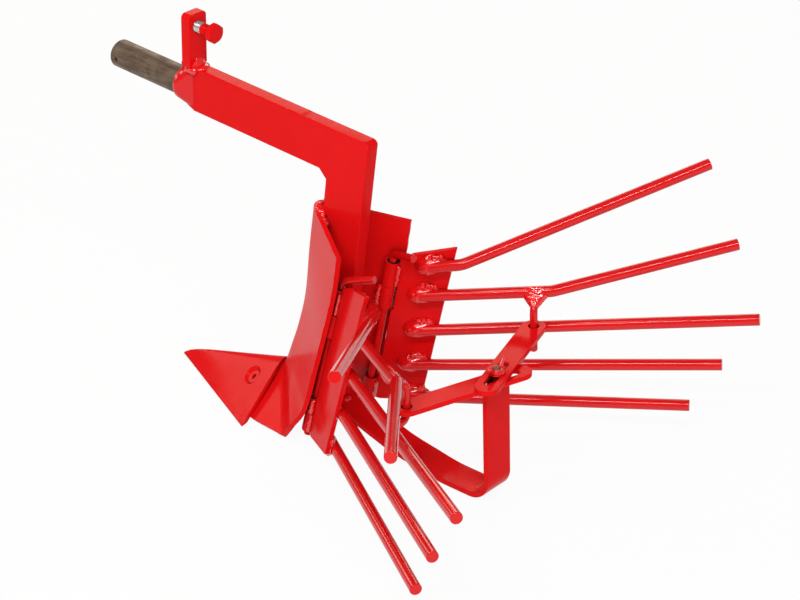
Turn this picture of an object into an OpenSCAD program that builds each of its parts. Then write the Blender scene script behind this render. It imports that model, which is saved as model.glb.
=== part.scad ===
// Walk-behind ridger with hinged digging wings, in millimetres.
// It stands on the share corners and the skid, share towards -Y, +Z up, centre plane x = 0.

/* [Beam and hitch] */
// thickness of the flat bar that the arm and the post are cut from
beam_t = 15; // [12:1:20]
// height of that flat bar
beam_h = 50; // [40:1:60]
// distance from the rear corner of the elbow to the front end of the arm
arm_len = 265; // [220:1:320]
// distance from the rear corner of the elbow to the seam between arm and post
seam_y = 89; // [80:1:120]
// depth of the share corners below the top of the arm
body_drop = 353; // [340:1:400]
// how far the post leans forward, in degrees
post_lean = 5.7; // [0:0.1:10]
// rounding of the elbow's outer corner
elbow_r = 6; // [2:1:12]
// diameter of the round hitch bar
hitch_d = 30; // [25:1:35]
// length of the hitch bar in front of the arm
hitch_len = 102; // [80:1:140]
// diameter of the lock pin hole across the hitch bar
lock_hole_d = 5; // [4:0.5:8]
// distance from the front end of the bar to the lock pin hole
lock_hole_y = 10; // [8:1:20]

/* [Adjuster] */
// width of the upright lug
lug_w = 25; // [20:1:30]
// thickness of the upright lug
lug_t = 12; // [10:1:16]
// height of the lug above the arm
lug_h = 58; // [54:1:70]
// distance from the front end of the arm to the lug's front face
lug_setback = 9.5; // [6:0.5:20]
// height of the adjuster bolt above the arm
bolt_z = 43.5; // [35:0.5:50]
// thread diameter of the adjuster bolt
bolt_d = 12; // [10:1:14]
// width across flats of its head
bolt_af = 19; // [17:1:22]
// thickness of its head
bolt_head = 7.5; // [6:0.5:9]
// length of its shank
bolt_len = 36; // [32:1:60]
// gap between the lug and the head
bolt_out = 20; // [16:1:30]

/* [Body] */
// thickness of the mouldboard sheets
board_t = 5; // [4:0.5:6]
// outer radius of the breast, where the two sheets meet
nose_r = 14; // [11:1:18]
// thickness of the share
share_t = 4; // [3.5:0.5:5]
// half the width of the share across its corners
share_w = 68.4; // [60:0.2:75]
// thread diameter of the share bolts
share_bolt_d = 8; // [6:1:10]

/* [Skid] */
// width of the skid strap
skid_w = 35; // [30:1:45]
// thickness of the skid strap
skid_t = 6; // [5:0.5:8]
// radius of the skid's lower bend, at the middle of the strap
skid_r = 23; // [16:1:30]
// distance of the skid's upright leg behind the elbow
skid_y = 167.4; // [160:0.1:172]

/* [Wings] */
// thickness of the hinged wing plates
wing_t = 5; // [4:0.5:6]
// angle between a wing plate and the direction of travel, in degrees
wing_open = 29; // [25:0.5:32]
// backward lean of the hinge line at the top, in degrees
hinge_lean = 11.5; // [8:0.1:14]
// inward lean of the hinge line at the top, in degrees
hinge_splay = 2.25; // [0:0.05:4]
// outside diameter of the hinge tubes
tube_d = 15; // [14:0.5:16]
// bore of the hinge tubes
tube_bore = 9.6; // [9:0.1:10.5]
// diameter of the hinge pins
pin_d = 8; // [7:0.5:8.5]
// diameter of the digging rods
rod_d = 12; // [10:0.5:14]
// length of the longest digging rod; the others keep their share of it
rod_len = 359; // [280:1:400]

/* [Straps] */
// width of the slotted straps
strap_w = 25; // [22:1:30]
// thickness of the slotted straps
strap_t = 5; // [4:0.5:6]
// diameter of the pins that the straps turn on
strap_pin_d = 8; // [7:0.5:9]
// how much wider than its pin a strap hole is
strap_hole_play = 2.7; // [2.4:0.1:4]
// diameter of the clamp stud
stud_d = 8; // [7:1:8]
// how much wider than the stud a slot is
slot_play = 2; // [1.8:0.1:4]
// length of the slot from end to end
slot_len = 48; // [42:1:56]

/* [Hidden] */

paint = [0.78, 0.05, 0.06];
steel = [0.42, 0.38, 0.33];
zinc = [0.72, 0.73, 0.72];

// Positions below are measured from the elbow's rear top corner, with the arm level.
// The body under the beam was laid out 353 mm deep, and below() moves it as one.
drawn_drop = 353;
below_by = body_drop - drawn_drop;
module below()
    translate([0, 0, -below_by])
    children();

tip_y = -275;
corner_y = -116.3;
corner_z = -drawn_drop;
skid_low_y = 138;
skid_low_z = corner_z + 17;
// The standing plane runs under the share corners and the skid's lowest line.
share_edge = 1.2;
foot_z = corner_z - share_edge;
tilt = atan((skid_low_z - foot_z) / (skid_low_y - corner_y));
tip_z = foot_z + (tip_y - corner_y) * tan(tilt) + 4;
floor_z = -((foot_z - below_by) * cos(tilt) - corner_y * sin(tilt));
middle_y = 30.69;

module stand()
    translate([0, middle_y, floor_z])
    rotate([-tilt, 0, 0])
    children();

// Upright axes again, at a point of the tilted frame.
module upright(p)
    translate(p)
    rotate([tilt, 0, 0])
    children();

module other_side()
    mirror([1, 0, 0])
    children();

// How far a bend reaches into the straight parts beside it, times 57.3.
bend_lap = 65;

// Bends of a round bar at b, between a and c, with radius r at the middle of the bar.
function unit(v) = v / norm(v);
function bend_turn(a, b, c) = acos(unit(b - a) * unit(c - b));
function bend_from(a, b, c, r) = b - r * tan(bend_turn(a, b, c) / 2) * unit(b - a);
function bend_to(a, b, c, r) = b + r * tan(bend_turn(a, b, c) / 2) * unit(c - b);
module bend(a, b, c, d, r) {
    u = unit(b - a);
    w = unit(cross(u, c - b));
    x = cross(u, w);
    o = bend_from(a, b, c, r) - r * x;
    multmatrix([[x[0], u[0], w[0], o[0]], [x[1], u[1], w[1], o[1]], [x[2], u[2], w[2], o[2]], [0, 0, 0, 1]])
    rotate([0, 0, -bend_lap / r])
    rotate_extrude(angle = bend_turn(a, b, c) + 2 * bend_lap / r, $fn = 96)
    translate([r, 0])
    circle(d = d - 0.3, $fn = 48);
}
module bent_bar(a, b, c, d, r) {
    bar(a, bend_from(a, b, c, r), d);
    bend(a, b, c, d, r);
    bar(bend_to(a, b, c, r), c, d);
}

// A round rod from a to b.
module bar(a, b, d) {
    v = b - a;
    translate(a)
    rotate([0, acos(v[2] / norm(v)), atan2(v[1], v[0])])
    cylinder(h = norm(v), d = d, $fn = 48);
}

hitch_z = -25.7;
hitch_front = -arm_len + 3 - hitch_len;
arm_end = -arm_len + 3;

// The bar's rear end is bevelled, and the weld fills the bevel.
root_len = 4;
module bar_root(play)
    translate([0, arm_end + play, hitch_z])
    rotate([90, 0, 0])
    cylinder(h = root_len, d1 = hitch_d - 3, d2 = hitch_d, $fn = 96);

module hitch_bar()
    color(steel)
    difference() {
        union() {
            bar_root(0);
            translate([0, arm_end - root_len, hitch_z])
            rotate([90, 0, 0])
            cylinder(h = hitch_len - 1.5 - root_len, d = hitch_d, $fn = 96);
            translate([0, hitch_front + 1.5, hitch_z])
            rotate([90, 0, 0])
            cylinder(h = 1.5, d1 = hitch_d, d2 = hitch_d - 3, $fn = 96);
        }
        translate([-hitch_d, hitch_front + lock_hole_y, hitch_z])
        rotate([0, 90, 0])
        cylinder(h = 2 * hitch_d, d = lock_hole_d, $fn = 32);
    }

// The weld that blends the round bar into the flat arm.
module hitch_weld()
    color(paint)
    difference() {
        hull() {
            translate([0, arm_end + 1, hitch_z])
            rotate([90, 0, 0])
            cylinder(h = root_len + 0.5, d = hitch_d + 4, $fn = 32);
            translate([0, arm_end + 6, hitch_z])
            rotate([90, 0, 0])
            cylinder(h = 3, d = hitch_d + 3, $fn = 32);
            translate([-beam_t / 2 - 0.4, arm_end + 15, -beam_h + 3])
            cube([beam_t + 0.8, 0.5, beam_h - 6]);
        }
        bar_root(0.01);
        translate([-beam_t / 2, arm_end + 0.01, -beam_h])
        cube([beam_t, 40, beam_h]);
    }

module beam_arm()
    color(paint)
    rotate([90, 0, 90])
    translate([0, 0, -beam_t / 2])
    linear_extrude(beam_t)
    polygon([[-seam_y - 0.1, 0], [-seam_y - 0.1, -beam_h], [arm_end + 18, -beam_h],
        [arm_end + 8, -beam_h + 4], [arm_end, -beam_h + 12], [arm_end, -6], [arm_end + 6, 0]]);

// Breast line [y, z] of the mouldboards, from the top down to the share.
breast = [[-74, -93], [-79.5, -142], [-84.5, -197.5], [-93.8, -237.7],
    [-104, -268], [-111, -288], [-117, -301]];
// Rear edge [x, y, z] of the left mouldboard's outer face, from the top down to its lower tip.
board_edge = [[55.2, 4.5, -106], [55.3, -2, -152], [55.3, -15, -206], [56, -26, -250.5],
    [61, -35.5, -298], [65, -48.5, -322], [63.5, -61.5, -341.5]];
// Lower flange under the share: breast points and edge points.
flange_breast = [[-128, -309], [-165, -323.3]];
flange_edge = [[55, -117, -348.8], [30, -162, -344.5]];

function spline1(a, b, c, d, t) =
    0.5 * (2 * b + (c - a) * t + (2 * a - 5 * b + 4 * c - d) * t * t + (3 * b - a - 3 * c + d) * t * t * t);
function spline(p, u) =
    let (n = len(p) - 1, i = min(floor(u * n), n - 1), t = u * n - i)
    spline1(i > 0 ? p[i - 1] : 2 * p[0] - p[1], p[i], p[i + 1],
        i < n - 1 ? p[i + 2] : 2 * p[n] - p[n - 1], t);

board_rows = 26;
flange_rows = 3;
function mix(a, b, t) = a + (b - a) * t;
function row_breast(i) = i <= board_rows ? spline(breast, i / board_rows)
    : i <= board_rows + flange_rows ? mix(breast[6], flange_breast[0], (i - board_rows) / flange_rows)
    : mix(flange_breast[0], flange_breast[1], (i - board_rows - flange_rows) / flange_rows);
function row_edge(i) = i <= board_rows ? spline(board_edge, i / board_rows)
    : i <= board_rows + flange_rows ? mix(board_edge[6], flange_edge[0], (i - board_rows) / flange_rows)
    : mix(flange_edge[0], flange_edge[1], (i - board_rows - flange_rows) / flange_rows);

// One row of the sheet in plan: a round breast, then a straight run to the rear edge.
arc_steps = 8;
flat_steps = 3;
function row_points(n, e) =
    let (cy = n[0] + nose_r, dx = e[0], dy = e[1] - cy, far = sqrt(dx * dx + dy * dy),
        run = sqrt(far * far - nose_r * nose_r),
        a = min(atan2(dx, dy) - atan(nose_r / run), 89.5),
        arc = nose_r * (90 - a) * PI / 180, all_len = arc + run)
    [for (j = [0 : arc_steps + flat_steps])
        j <= arc_steps
        ? let (g = 90 - (90 - a) * j / arc_steps)
            [nose_r * cos(g), cy - nose_r * sin(g), mix(n[1], e[2], arc * j / arc_steps / all_len)]
        : let (s = run * (j - arc_steps) / flat_steps)
            [nose_r * cos(a) + s * sin(a), cy - nose_r * sin(a) + s * cos(a),
                mix(n[1], e[2], (arc + s) / all_len)]];

board_last = board_rows + 2 * flange_rows;
col_last = arc_steps + flat_steps;
board_out = [for (i = [0 : board_last]) row_points(row_breast(i), row_edge(i))];
function sheet_normal(g, i, j) =
    let (down = g[min(i + 1, len(g) - 1)][j] - g[max(i - 1, 0)][j],
        along = j == 0 ? [1, 0, 0] : g[i][min(j + 1, len(g[0]) - 1)] - g[i][j - 1])
    unit(cross(down, along));
board_in = [for (i = [0 : board_last]) [for (j = [0 : col_last])
    board_out[i][j] - board_t * sheet_normal(board_out, i, j)]];

// A closed sheet between two grids of points.
module sheet(g, h) {
    r = len(g);
    c = len(g[0]);
    pts = concat([for (i = [0 : r - 1]) each g[i]], [for (i = [0 : r - 1]) each h[i]]);
    o = r * c;
    faces = concat(
        [for (i = [0 : r - 2]) for (j = [0 : c - 2]) each
            [[i * c + j, i * c + j + 1, (i + 1) * c + j + 1],
            [i * c + j, (i + 1) * c + j + 1, (i + 1) * c + j]]],
        [for (i = [0 : r - 2]) for (j = [0 : c - 2]) each
            [[o + i * c + j, o + (i + 1) * c + j + 1, o + i * c + j + 1],
            [o + i * c + j, o + (i + 1) * c + j, o + (i + 1) * c + j + 1]]],
        [for (j = [0 : c - 2]) each
            [[j, o + j, o + j + 1], [j, o + j + 1, j + 1]]],
        [for (j = [0 : c - 2]) let (k = (r - 1) * c + j) each
            [[k, k + 1, o + k + 1], [k, o + k + 1, o + k]]],
        [for (i = [0 : r - 2]) let (k = i * c) each
            [[k, k + c, o + k + c], [k, o + k + c, o + k]]],
        [for (i = [0 : r - 2]) let (k = i * c + c - 1) each
            [[k, o + k, o + k + c], [k, o + k + c, k + c]]]);
    polyhedron(points = pts, faces = faces, convexity = 6);
}

// Share ridge [y, z] from the rear to the tip.
ridge = [[-120, -300], [-150, -311], [-180, -321.8], [-210, -332.4], [-237.5, -342.4],
    [-255, -349.6], [-266, -355.2], [tip_y, tip_z]];
share_cols = 10;
edge_round = 0.14;
function ridge_drop(s) = (sqrt(s * s + edge_round * edge_round) - edge_round)
    / (sqrt(1 + edge_round * edge_round) - edge_round);
function cut_x(y) = 1.6 + (share_w - 1.6) * (y - tip_y) / (corner_y - tip_y);
function cut_z(y) = tip_z + (corner_z - tip_z) * (y - tip_y) / (corner_y - tip_y);
share_top = [for (i = [0 : len(ridge) - 1]) [for (j = [-share_cols : share_cols])
    let (s = sign(j) * pow(abs(j) / share_cols, 1.4), w = i == 0 ? share_w : cut_x(ridge[i][0]),
        ye = i == 0 ? corner_y : ridge[i][0],
        ze = i == 0 ? corner_z : cut_z(ridge[i][0]) - (i == len(ridge) - 1 ? 0.6 : 0))
    [w * s, mix(ridge[i][0], ye, abs(s)), ridge[i][1] + (ze - ridge[i][1]) * ridge_drop(s)]]];
function share_depth(i) = min(share_t * 1.34, 2 + 1.4 * (len(ridge) - 1 - i));
share_under = [for (i = [0 : len(ridge) - 1]) [for (j = [-share_cols : share_cols])
    let (edge = abs(j) == share_cols || i == len(ridge) - 1)
    share_top[i][j + share_cols] - [0, 0, edge ? share_edge : share_depth(i)]]];

// Where the share bolts stand on the left wing of the share, and which way they point.
share_bolt_at = [20.4, -145.9, -326.9];
share_bolt_tilt = [16.5, 38.4, 0];
module at_share_bolts() {
    translate(share_bolt_at) rotate(share_bolt_tilt) children();
    other_side() translate(share_bolt_at) rotate(share_bolt_tilt) children();
}

module mouldboard_left()
    color(paint)
    difference() {
        sheet(board_out, board_in);
        at_share_bolts() translate([0, 0, -30]) cylinder(h = 60, d = share_bolt_d + 1, $fn = 32);
    }

module mouldboard_right() other_side() mouldboard_left();

module share()
    color(paint)
    difference() {
        sheet(share_top, share_under);
        at_share_bolts() {
            translate([0, 0, -20]) cylinder(h = 40, d = share_bolt_d + 0.6, $fn = 32);
            translate([0, 0, -3.6]) cylinder(h = 7.6, d1 = share_bolt_d + 0.6, d2 = 2 * share_bolt_d + 8, $fn = 48);
        }
    }

module share_bolts()
    color(paint)
    at_share_bolts()
    difference() {
        union() {
            translate([0, 0, -22]) cylinder(h = 22, d = share_bolt_d, $fn = 32);
            translate([0, 0, -3.8]) cylinder(h = 4, d1 = share_bolt_d, d2 = 2 * share_bolt_d, $fn = 48);
        }
        translate([0, 0, -2.2]) cylinder(h = 3, d = 5.8, $fn = 6);
    }

module share_nuts()
    color(zinc)
    at_share_bolts()
    translate([0, 0, -19.5])
    difference() {
        cylinder(h = 6.5, d = 15, $fn = 6);
        translate([0, 0, -1]) cylinder(h = 9, d = share_bolt_d + 0.1, $fn = 32);
    }

// Post: an L cut from plate, with its lower front edge following the breast.
function breast_y(z) = lookup(z, [for (k = [6 : -1 : 0]) [breast[k][1], breast[k][0]]]);
post_rear = -309.2;
post_marks = [-299, -286, -270, -250, -225, -200, -150, -110];
post_neck = [-58, -86];
skid_slope = -0.2236;
function skid_top(y) = -310 + skid_slope * (y + 28);
module beam_post()
    color(paint)
    rotate([90, 0, 90])
    translate([0, 0, -beam_t / 2])
    linear_extrude(beam_t)
    polygon(concat(
        [[-seam_y + 0.1, -0.8], [-elbow_r, -0.8]],
        [for (a = [75 : -15 : 15]) [-elbow_r + elbow_r * cos(a), -elbow_r - 0.8 + elbow_r * sin(a)]],
        [[post_rear * tan(post_lean), post_rear - below_by]],
        [for (z = post_marks) [breast_y(z) + 9.8, z - below_by]],
        [for (z = [post_neck[1], post_neck[0]]) [-beam_h - 0.25 + z * tan(post_lean), z]],
        [[-beam_h - 15, -beam_h - 0.2], [-seam_y + 0.1, -beam_h - 0.2]]));

lug_front = -arm_len + lug_setback;
module adjuster_lug()
    color(paint)
    translate([0, lug_front + lug_t, 0.1])
    rotate([90, 0, 0])
    difference() {
        linear_extrude(lug_t)
        polygon(concat([[-lug_w / 2, 0], [lug_w / 2, 0]],
            [for (a = [0 : 15 : 90]) [lug_w / 2 - 5 + 5 * cos(a), lug_h - 5 + 5 * sin(a)]],
            [for (a = [90 : 15 : 180]) [-lug_w / 2 + 5 + 5 * cos(a), lug_h - 5 + 5 * sin(a)]]));
        translate([0, bolt_z, -1]) cylinder(h = lug_t + 2, d = bolt_d + 0.1, $fn = 48);
    }

module adjuster_bolt()
    color(paint)
    translate([0, lug_front + lug_t + bolt_out, bolt_z + 0.1])
    rotate([90, 0, 0]) {
        translate([0, 0, -bolt_head])
        rotate([0, 0, 12])
        intersection() {
            cylinder(h = bolt_head, d = bolt_af / cos(30), $fn = 6);
            translate([0, 0, -3]) cylinder(h = bolt_head + 10, d1 = bolt_af - 2, d2 = bolt_af + 24, $fn = 48);
        }
        cylinder(h = bolt_len - 1, d = bolt_d, $fn = 48);
        translate([0, 0, bolt_len - 1]) cylinder(h = 1, d1 = bolt_d, d2 = bolt_d - 2, $fn = 48);
    }

// Skid strap, seen from the side: a straight tail under the post, a shallow sag and an upright leg.
leg_top = -203.7;
rise = tan(tilt);
function leg_mid(z) = skid_y - (z - leg_top) * rise;
bend_z = (foot_z + (skid_y - skid_r + leg_top * rise - corner_y) * rise
    + (skid_r + skid_t / 2) / cos(tilt)) / (1 + rise * rise);
bend_y = leg_mid(bend_z) - skid_r;
function on_floor(y) = foot_z + (y - corner_y) * rise + skid_t / 2 / cos(tilt);
tail_y = -76;
tail_bend = 6;
sag = [[tail_y, skid_top(tail_y) - skid_t / 2 - 0.2], [tail_bend, skid_top(tail_bend) - skid_t / 2 - 0.2],
    [30, -326], [50, -329.8], [80, -332.3], [112, on_floor(112) + 0.6], [bend_y - 8, on_floor(bend_y - 8)]];
skid_path = concat([for (u = [0 : 0.05 : 1]) spline(sag, u)],
    [for (k = [0 : 10]) let (a = tilt - 90 + 9 * k) [bend_y + skid_r * cos(a), bend_z + skid_r * sin(a)]],
    [for (t = [0.25, 0.6, 1]) let (z = mix(bend_z, leg_top, t)) [leg_mid(z), z]]);
function side_step(p, i, d) =
    let (v = unit(p[min(i + 1, len(p) - 1)] - p[max(i - 1, 0)]))
    p[i] + d * [-v[1], v[0]];
module skid()
    color(paint)
    rotate([90, 0, 90])
    translate([0, 0, -skid_w / 2])
    linear_extrude(skid_w)
    polygon(concat([for (i = [0 : len(skid_path) - 1]) side_step(skid_path, i, skid_t / 2)],
        [for (i = [len(skid_path) - 1 : -1 : 0]) side_step(skid_path, i, -skid_t / 2)]));

// Clamp: heights above the collar's seat.
seat = [0, skid_y + 1, leg_top + 3];
low_strap = 0.1;
high_strap = strap_t + 0.4;
washer_z = high_strap + strap_t + 0.1;
washer_t = 1.2;
hub_z = washer_z + washer_t + 0.05;
hub_h = 4.2;
module clamp_stud()
    color(steel)
    upright(seat) {
        translate([0, 0, -2.9]) cylinder(h = 2.9, d = 20, $fn = 48);
        cylinder(h = hub_z + hub_h, d = stud_d, $fn = 48);
        translate([0, 0, hub_z + hub_h]) cylinder(h = 0.8, d1 = stud_d, d2 = stud_d - 1.6, $fn = 48);
    }

module clamp_washer()
    color(paint)
    upright(seat)
    translate([0, 0, washer_z])
    difference() {
        cylinder(h = washer_t, d = 17, $fn = 48);
        translate([0, 0, -1]) cylinder(h = 4, d = stud_d + 0.5, $fn = 48);
    }

nut_turn = 188;
module wing_nut()
    color(paint)
    upright(seat)
    translate([0, 0, hub_z])
    rotate([0, 0, nut_turn])
    difference() {
        union() {
            cylinder(h = hub_h, d1 = 15.5, d2 = 12.5, $fn = 48);
            for (side = [0, 180])
            rotate([0, 0, side])
            translate([0, 1.6, 0])
            rotate([90, 0, 0])
            linear_extrude(3.2)
            polygon([[4.6, 0.4], [7, 0.4], [11.2, 3.2], [14.6, 6.4], [15.9, 9], [15.3, 11.3], [13, 12],
                [10.2, 10.4], [6.4, 5]]);
        }
        translate([0, 0, -1]) cylinder(h = hub_h + 2, d = stud_d + 0.1, $fn = 48);
    }

// Hinge frame: x runs out along the wing plate, y points to the inside, z runs up the hinge line.
hinge_top = [37.9, -3.8, -149.4];
module hinge_frame()
    translate(hinge_top)
    rotate([0, -hinge_splay, 0])
    rotate([-hinge_lean, 0, 0])
    rotate([0, 0, 90 - wing_open])
    children();

knuckle_h = 31;
knuckle_short = 29;
low_knuckle = -187;
module tube(z, h)
    translate([0, 0, z])
    difference() {
        cylinder(h = h, d = tube_d, $fn = 64);
        translate([0, 0, -1]) cylinder(h = h + 2, d = tube_bore, $fn = 64);
    }

module knuckle_left()
    color(paint)
    hinge_frame()
    tube(-knuckle_h - 0.5 - knuckle_short, knuckle_short);

module knuckle_right() other_side() knuckle_left();

module wing_knuckles_left()
    color(paint)
    hinge_frame() {
        tube(-knuckle_h, knuckle_h);
        tube(low_knuckle, knuckle_short);
    }

module wing_knuckles_right() other_side() wing_knuckles_left();

plate_in = tube_d / 2 + 0.05;
plate_gap = tube_d / 2 + 2.2;
plate_start = 6;
plate_top = [[20.4, 15.6], [61.3, 37.4]];
plate_foot = [[57, -171.5], [14, -185.5]];
module wing_plate_left()
    color(paint)
    hinge_frame()
    translate([0, wing_t / 2, 0])
    rotate([90, 0, 0])
    linear_extrude(wing_t)
    polygon(concat([[plate_in, plate_start]], plate_top, plate_foot,
        [[plate_in, plate_foot[1][1]], [plate_in, -knuckle_h - knuckle_short - 2.2],
            [plate_gap, -knuckle_h - knuckle_short - 2.2], [plate_gap, -knuckle_h + 0.3],
            [plate_in, -knuckle_h + 0.3]]));

module wing_plate_right() other_side() wing_plate_left();

// L-bent pin: straight through the tubes, with a short handle on top.
handle_end = [23, 22.2, 27];
handle_bend = [0, 0, 8.6];
module hinge_pin_left()
    color(paint)
    hinge_frame()
    bent_bar([0, 0, low_knuckle - 6], handle_bend, handle_end, pin_d, 9);

module hinge_pin_right() other_side() hinge_pin_left();

// Digging rods in the hinge frame: start on the plate, bend, end.
lay = wing_t / 2 + rod_d / 2;
rod_bend_r = 22;
rod_grow = rod_len / 359;
rod_2_knee = [163.6, 1, 15.8];
rod_2_run = [167, -72.3, 62.6];
rods = [
    [[30, lay, 6], [70.3, lay, 24.6], [70.3, lay, 24.6] + rod_grow * [212.3, -126.8, 106.9]],
    [[28, lay, -32], rod_2_knee, rod_2_knee + rod_grow * rod_2_run],
    [[31, lay, -78.2], [31, lay, -78.2] + rod_grow * [338.8, -22.3, 116.2]],
    [[31, lay, -125.5], [31, lay, -125.5] + rod_grow * [316.8, -22.1, 94.9]],
    [[36, lay, -168.3], [36, lay, -168.3] + rod_grow * [292.4, -18.5, 76.8]]
];
module rod(k)
    color(paint)
    hinge_frame()
    if (len(rods[k]) == 2)
        bar(rods[k][0], rods[k][1], rod_d);
    else
        bent_bar(rods[k][0], rods[k][1], rods[k][2], rod_d, rod_bend_r);

module rod_left_1() rod(0);
module rod_left_2() rod(1);
module rod_left_3() rod(2);
module rod_left_4() rod(3);
module rod_left_5() rod(4);
module rod_right_1() other_side() rod(0);
module rod_right_2() other_side() rod(1);
module rod_right_3() other_side() rod(2);
module rod_right_4() other_side() rod(3);
module rod_right_5() other_side() rod(4);

// Strap pivots, measured from the clamp seat in upright axes.
pivot = [95.6, -32, 0];
strap_turn = atan2(-pivot[1], -pivot[0]);
// Each pin is hooked at the bottom and bent at the top to meet the underside of the second rod.
function turn_x(v, a) = [v[0], v[1] * cos(a) - v[2] * sin(a), v[1] * sin(a) + v[2] * cos(a)];
function turn_y(v, a) = [v[0] * cos(a) + v[2] * sin(a), v[1], v[2] * cos(a) - v[0] * sin(a)];
function turn_z(v, a) = [v[0] * cos(a) - v[1] * sin(a), v[0] * sin(a) + v[1] * cos(a), v[2]];
function in_beam(p) = hinge_top + turn_y(turn_x(turn_z(p, 90 - wing_open), -hinge_lean), -hinge_splay);
rod_meet = turn_x(in_beam(mix(rods[1][0], rod_2_knee, 0.882)) - seat, -tilt);
pin_top = [pivot[0], pivot[1], rod_meet[2] - 14.1];
pin_end = pin_top + (norm(rod_meet - pin_top) - rod_d / 2 - 0.02) * unit(rod_meet - pin_top);
hook = pivot + [0, 0, -8];
left_hook = [14, 2, 0];
right_hook = [-11, 9, 0];
hook_r = 8;
top_r = 6;
module strap_pin(hook_run)
    color(paint)
    upright(seat) {
        bar(hook + hook_run, bend_from(hook + hook_run, hook, pin_top, hook_r), strap_pin_d);
        bend(hook + hook_run, hook, pin_top, strap_pin_d, hook_r);
        bar(bend_to(hook + hook_run, hook, pin_top, hook_r), bend_from(hook, pin_top, pin_end, top_r), strap_pin_d);
        bend(hook, pin_top, pin_end, strap_pin_d, top_r);
        bar(bend_to(hook, pin_top, pin_end, top_r), pin_end, strap_pin_d);
    }

module strap_pin_left() strap_pin(left_hook);

module strap_pin_right() other_side() strap_pin(right_hook);

// Slotted strap lying along +x from its pivot.
slot_from = 78;
strap_tip = 139;
module strap()
    difference() {
        union() {
            cylinder(h = strap_t, d = strap_w, $fn = 64);
            translate([0, -strap_w / 2, 0])
            cube([strap_tip - strap_w / 2, strap_w, strap_t]);
            translate([strap_tip - strap_w / 2, 0, 0])
            cylinder(h = strap_t, d = strap_w, $fn = 64);
        }
        translate([0, 0, -1])
        cylinder(h = strap_t + 2, d = strap_pin_d + strap_hole_play, $fn = 48);
        for (x = [slot_from + (stud_d + slot_play) / 2, slot_from + slot_len - (stud_d + slot_play) / 2])
        translate([x, 0, -1])
        cylinder(h = strap_t + 2, d = stud_d + slot_play, $fn = 48);
        translate([slot_from + (stud_d + slot_play) / 2, -(stud_d + slot_play) / 2, -1])
        cube([slot_len - stud_d - slot_play, stud_d + slot_play, strap_t + 2]);
    }

module strap_left()
    color(paint)
    upright(seat)
    translate([pivot[0], pivot[1], low_strap])
    rotate([0, 0, strap_turn])
    strap();

module strap_right()
    color(paint)
    other_side()
    upright(seat)
    translate([pivot[0], pivot[1], high_strap])
    rotate([0, 0, strap_turn])
    strap();

stand() {
hitch_bar();
hitch_weld();
beam_arm();
beam_post();
adjuster_lug();
adjuster_bolt();
below() {
mouldboard_left();
mouldboard_right();
share();
share_bolts();
share_nuts();
knuckle_left();
knuckle_right();
skid();
clamp_stud();
clamp_washer();
wing_nut();
hinge_pin_left();
hinge_pin_right();
wing_plate_left();
wing_plate_right();
wing_knuckles_left();
wing_knuckles_right();
rod_left_1();
rod_left_2();
rod_left_3();
rod_left_4();
rod_left_5();
rod_right_1();
rod_right_2();
rod_right_3();
rod_right_4();
rod_right_5();
strap_pin_left();
strap_pin_right();
strap_left();
strap_right();
}
}
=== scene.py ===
from math import atan, atan2, cos, degrees, hypot, pi, radians, sin, sqrt, tan

import bmesh
import bpy
from mathutils import Matrix, Vector, noise


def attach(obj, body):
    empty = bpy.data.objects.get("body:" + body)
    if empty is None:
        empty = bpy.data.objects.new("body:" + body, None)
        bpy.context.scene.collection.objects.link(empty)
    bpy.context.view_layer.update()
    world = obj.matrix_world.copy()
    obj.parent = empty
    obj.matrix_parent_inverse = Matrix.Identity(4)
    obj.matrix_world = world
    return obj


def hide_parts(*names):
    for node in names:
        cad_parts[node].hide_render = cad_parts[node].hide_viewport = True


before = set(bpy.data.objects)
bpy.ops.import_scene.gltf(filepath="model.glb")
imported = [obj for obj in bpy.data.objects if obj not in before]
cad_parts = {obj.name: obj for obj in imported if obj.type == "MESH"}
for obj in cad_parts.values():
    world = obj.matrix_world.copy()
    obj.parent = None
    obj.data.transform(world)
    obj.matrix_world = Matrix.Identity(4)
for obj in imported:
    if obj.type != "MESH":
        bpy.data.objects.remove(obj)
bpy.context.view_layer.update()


def move(x, y, z):
    return Matrix.Translation((x, y, z))


def rotate(angleDeg, axis):
    return Matrix.Rotation(radians(angleDeg), 4, axis)


# The ridger is drawn in millimetres, in the frame of the level beam: origin at the elbow's rear top
# corner, arm along -Y, +X to the left wing. The stance tips that frame until it stands on the floor.
stance = {"tiltDeg": 4.0936, "middleY": 30.69, "floorZ": 344.994}
beamFrame = (Matrix.Scale(0.001, 4) @ move(0, stance["middleY"], stance["floorZ"])
             @ rotate(-stance["tiltDeg"], "X"))

hingeLine = {"top": (37.9, -3.8, -149.4), "splayDeg": 2.25, "leanDeg": 11.5, "openDeg": 29}
hingeFrame = (beamFrame @ move(*hingeLine["top"]) @ rotate(-hingeLine["splayDeg"], "Y")
              @ rotate(-hingeLine["leanDeg"], "X") @ rotate(90 - hingeLine["openDeg"], "Z"))

clampSeat = {"y": 168.4, "z": -200.7}
clampFrame = beamFrame @ move(0, clampSeat["y"], clampSeat["z"]) @ rotate(stance["tiltDeg"], "X")

unmoved = Matrix.Identity(4)
mirrorX = Matrix.Scale(-1, 4, (1, 0, 0))
sides = (("left", unmoved), ("right", mirrorX))


# Shader groups: each effect is built once and placed in the materials with its own values.
def newGroup(name, inputs, outputs):
    group = bpy.data.node_groups.new(name, "ShaderNodeTree")
    for label, kind, value in inputs:
        socket = group.interface.new_socket(name=label, in_out="INPUT", socket_type="NodeSocket" + kind)
        socket.default_value = value
    for label, kind in outputs:
        group.interface.new_socket(name=label, in_out="OUTPUT", socket_type="NodeSocket" + kind)
    return group, group.nodes.new("NodeGroupInput").outputs, group.nodes.new("NodeGroupOutput").inputs


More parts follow.
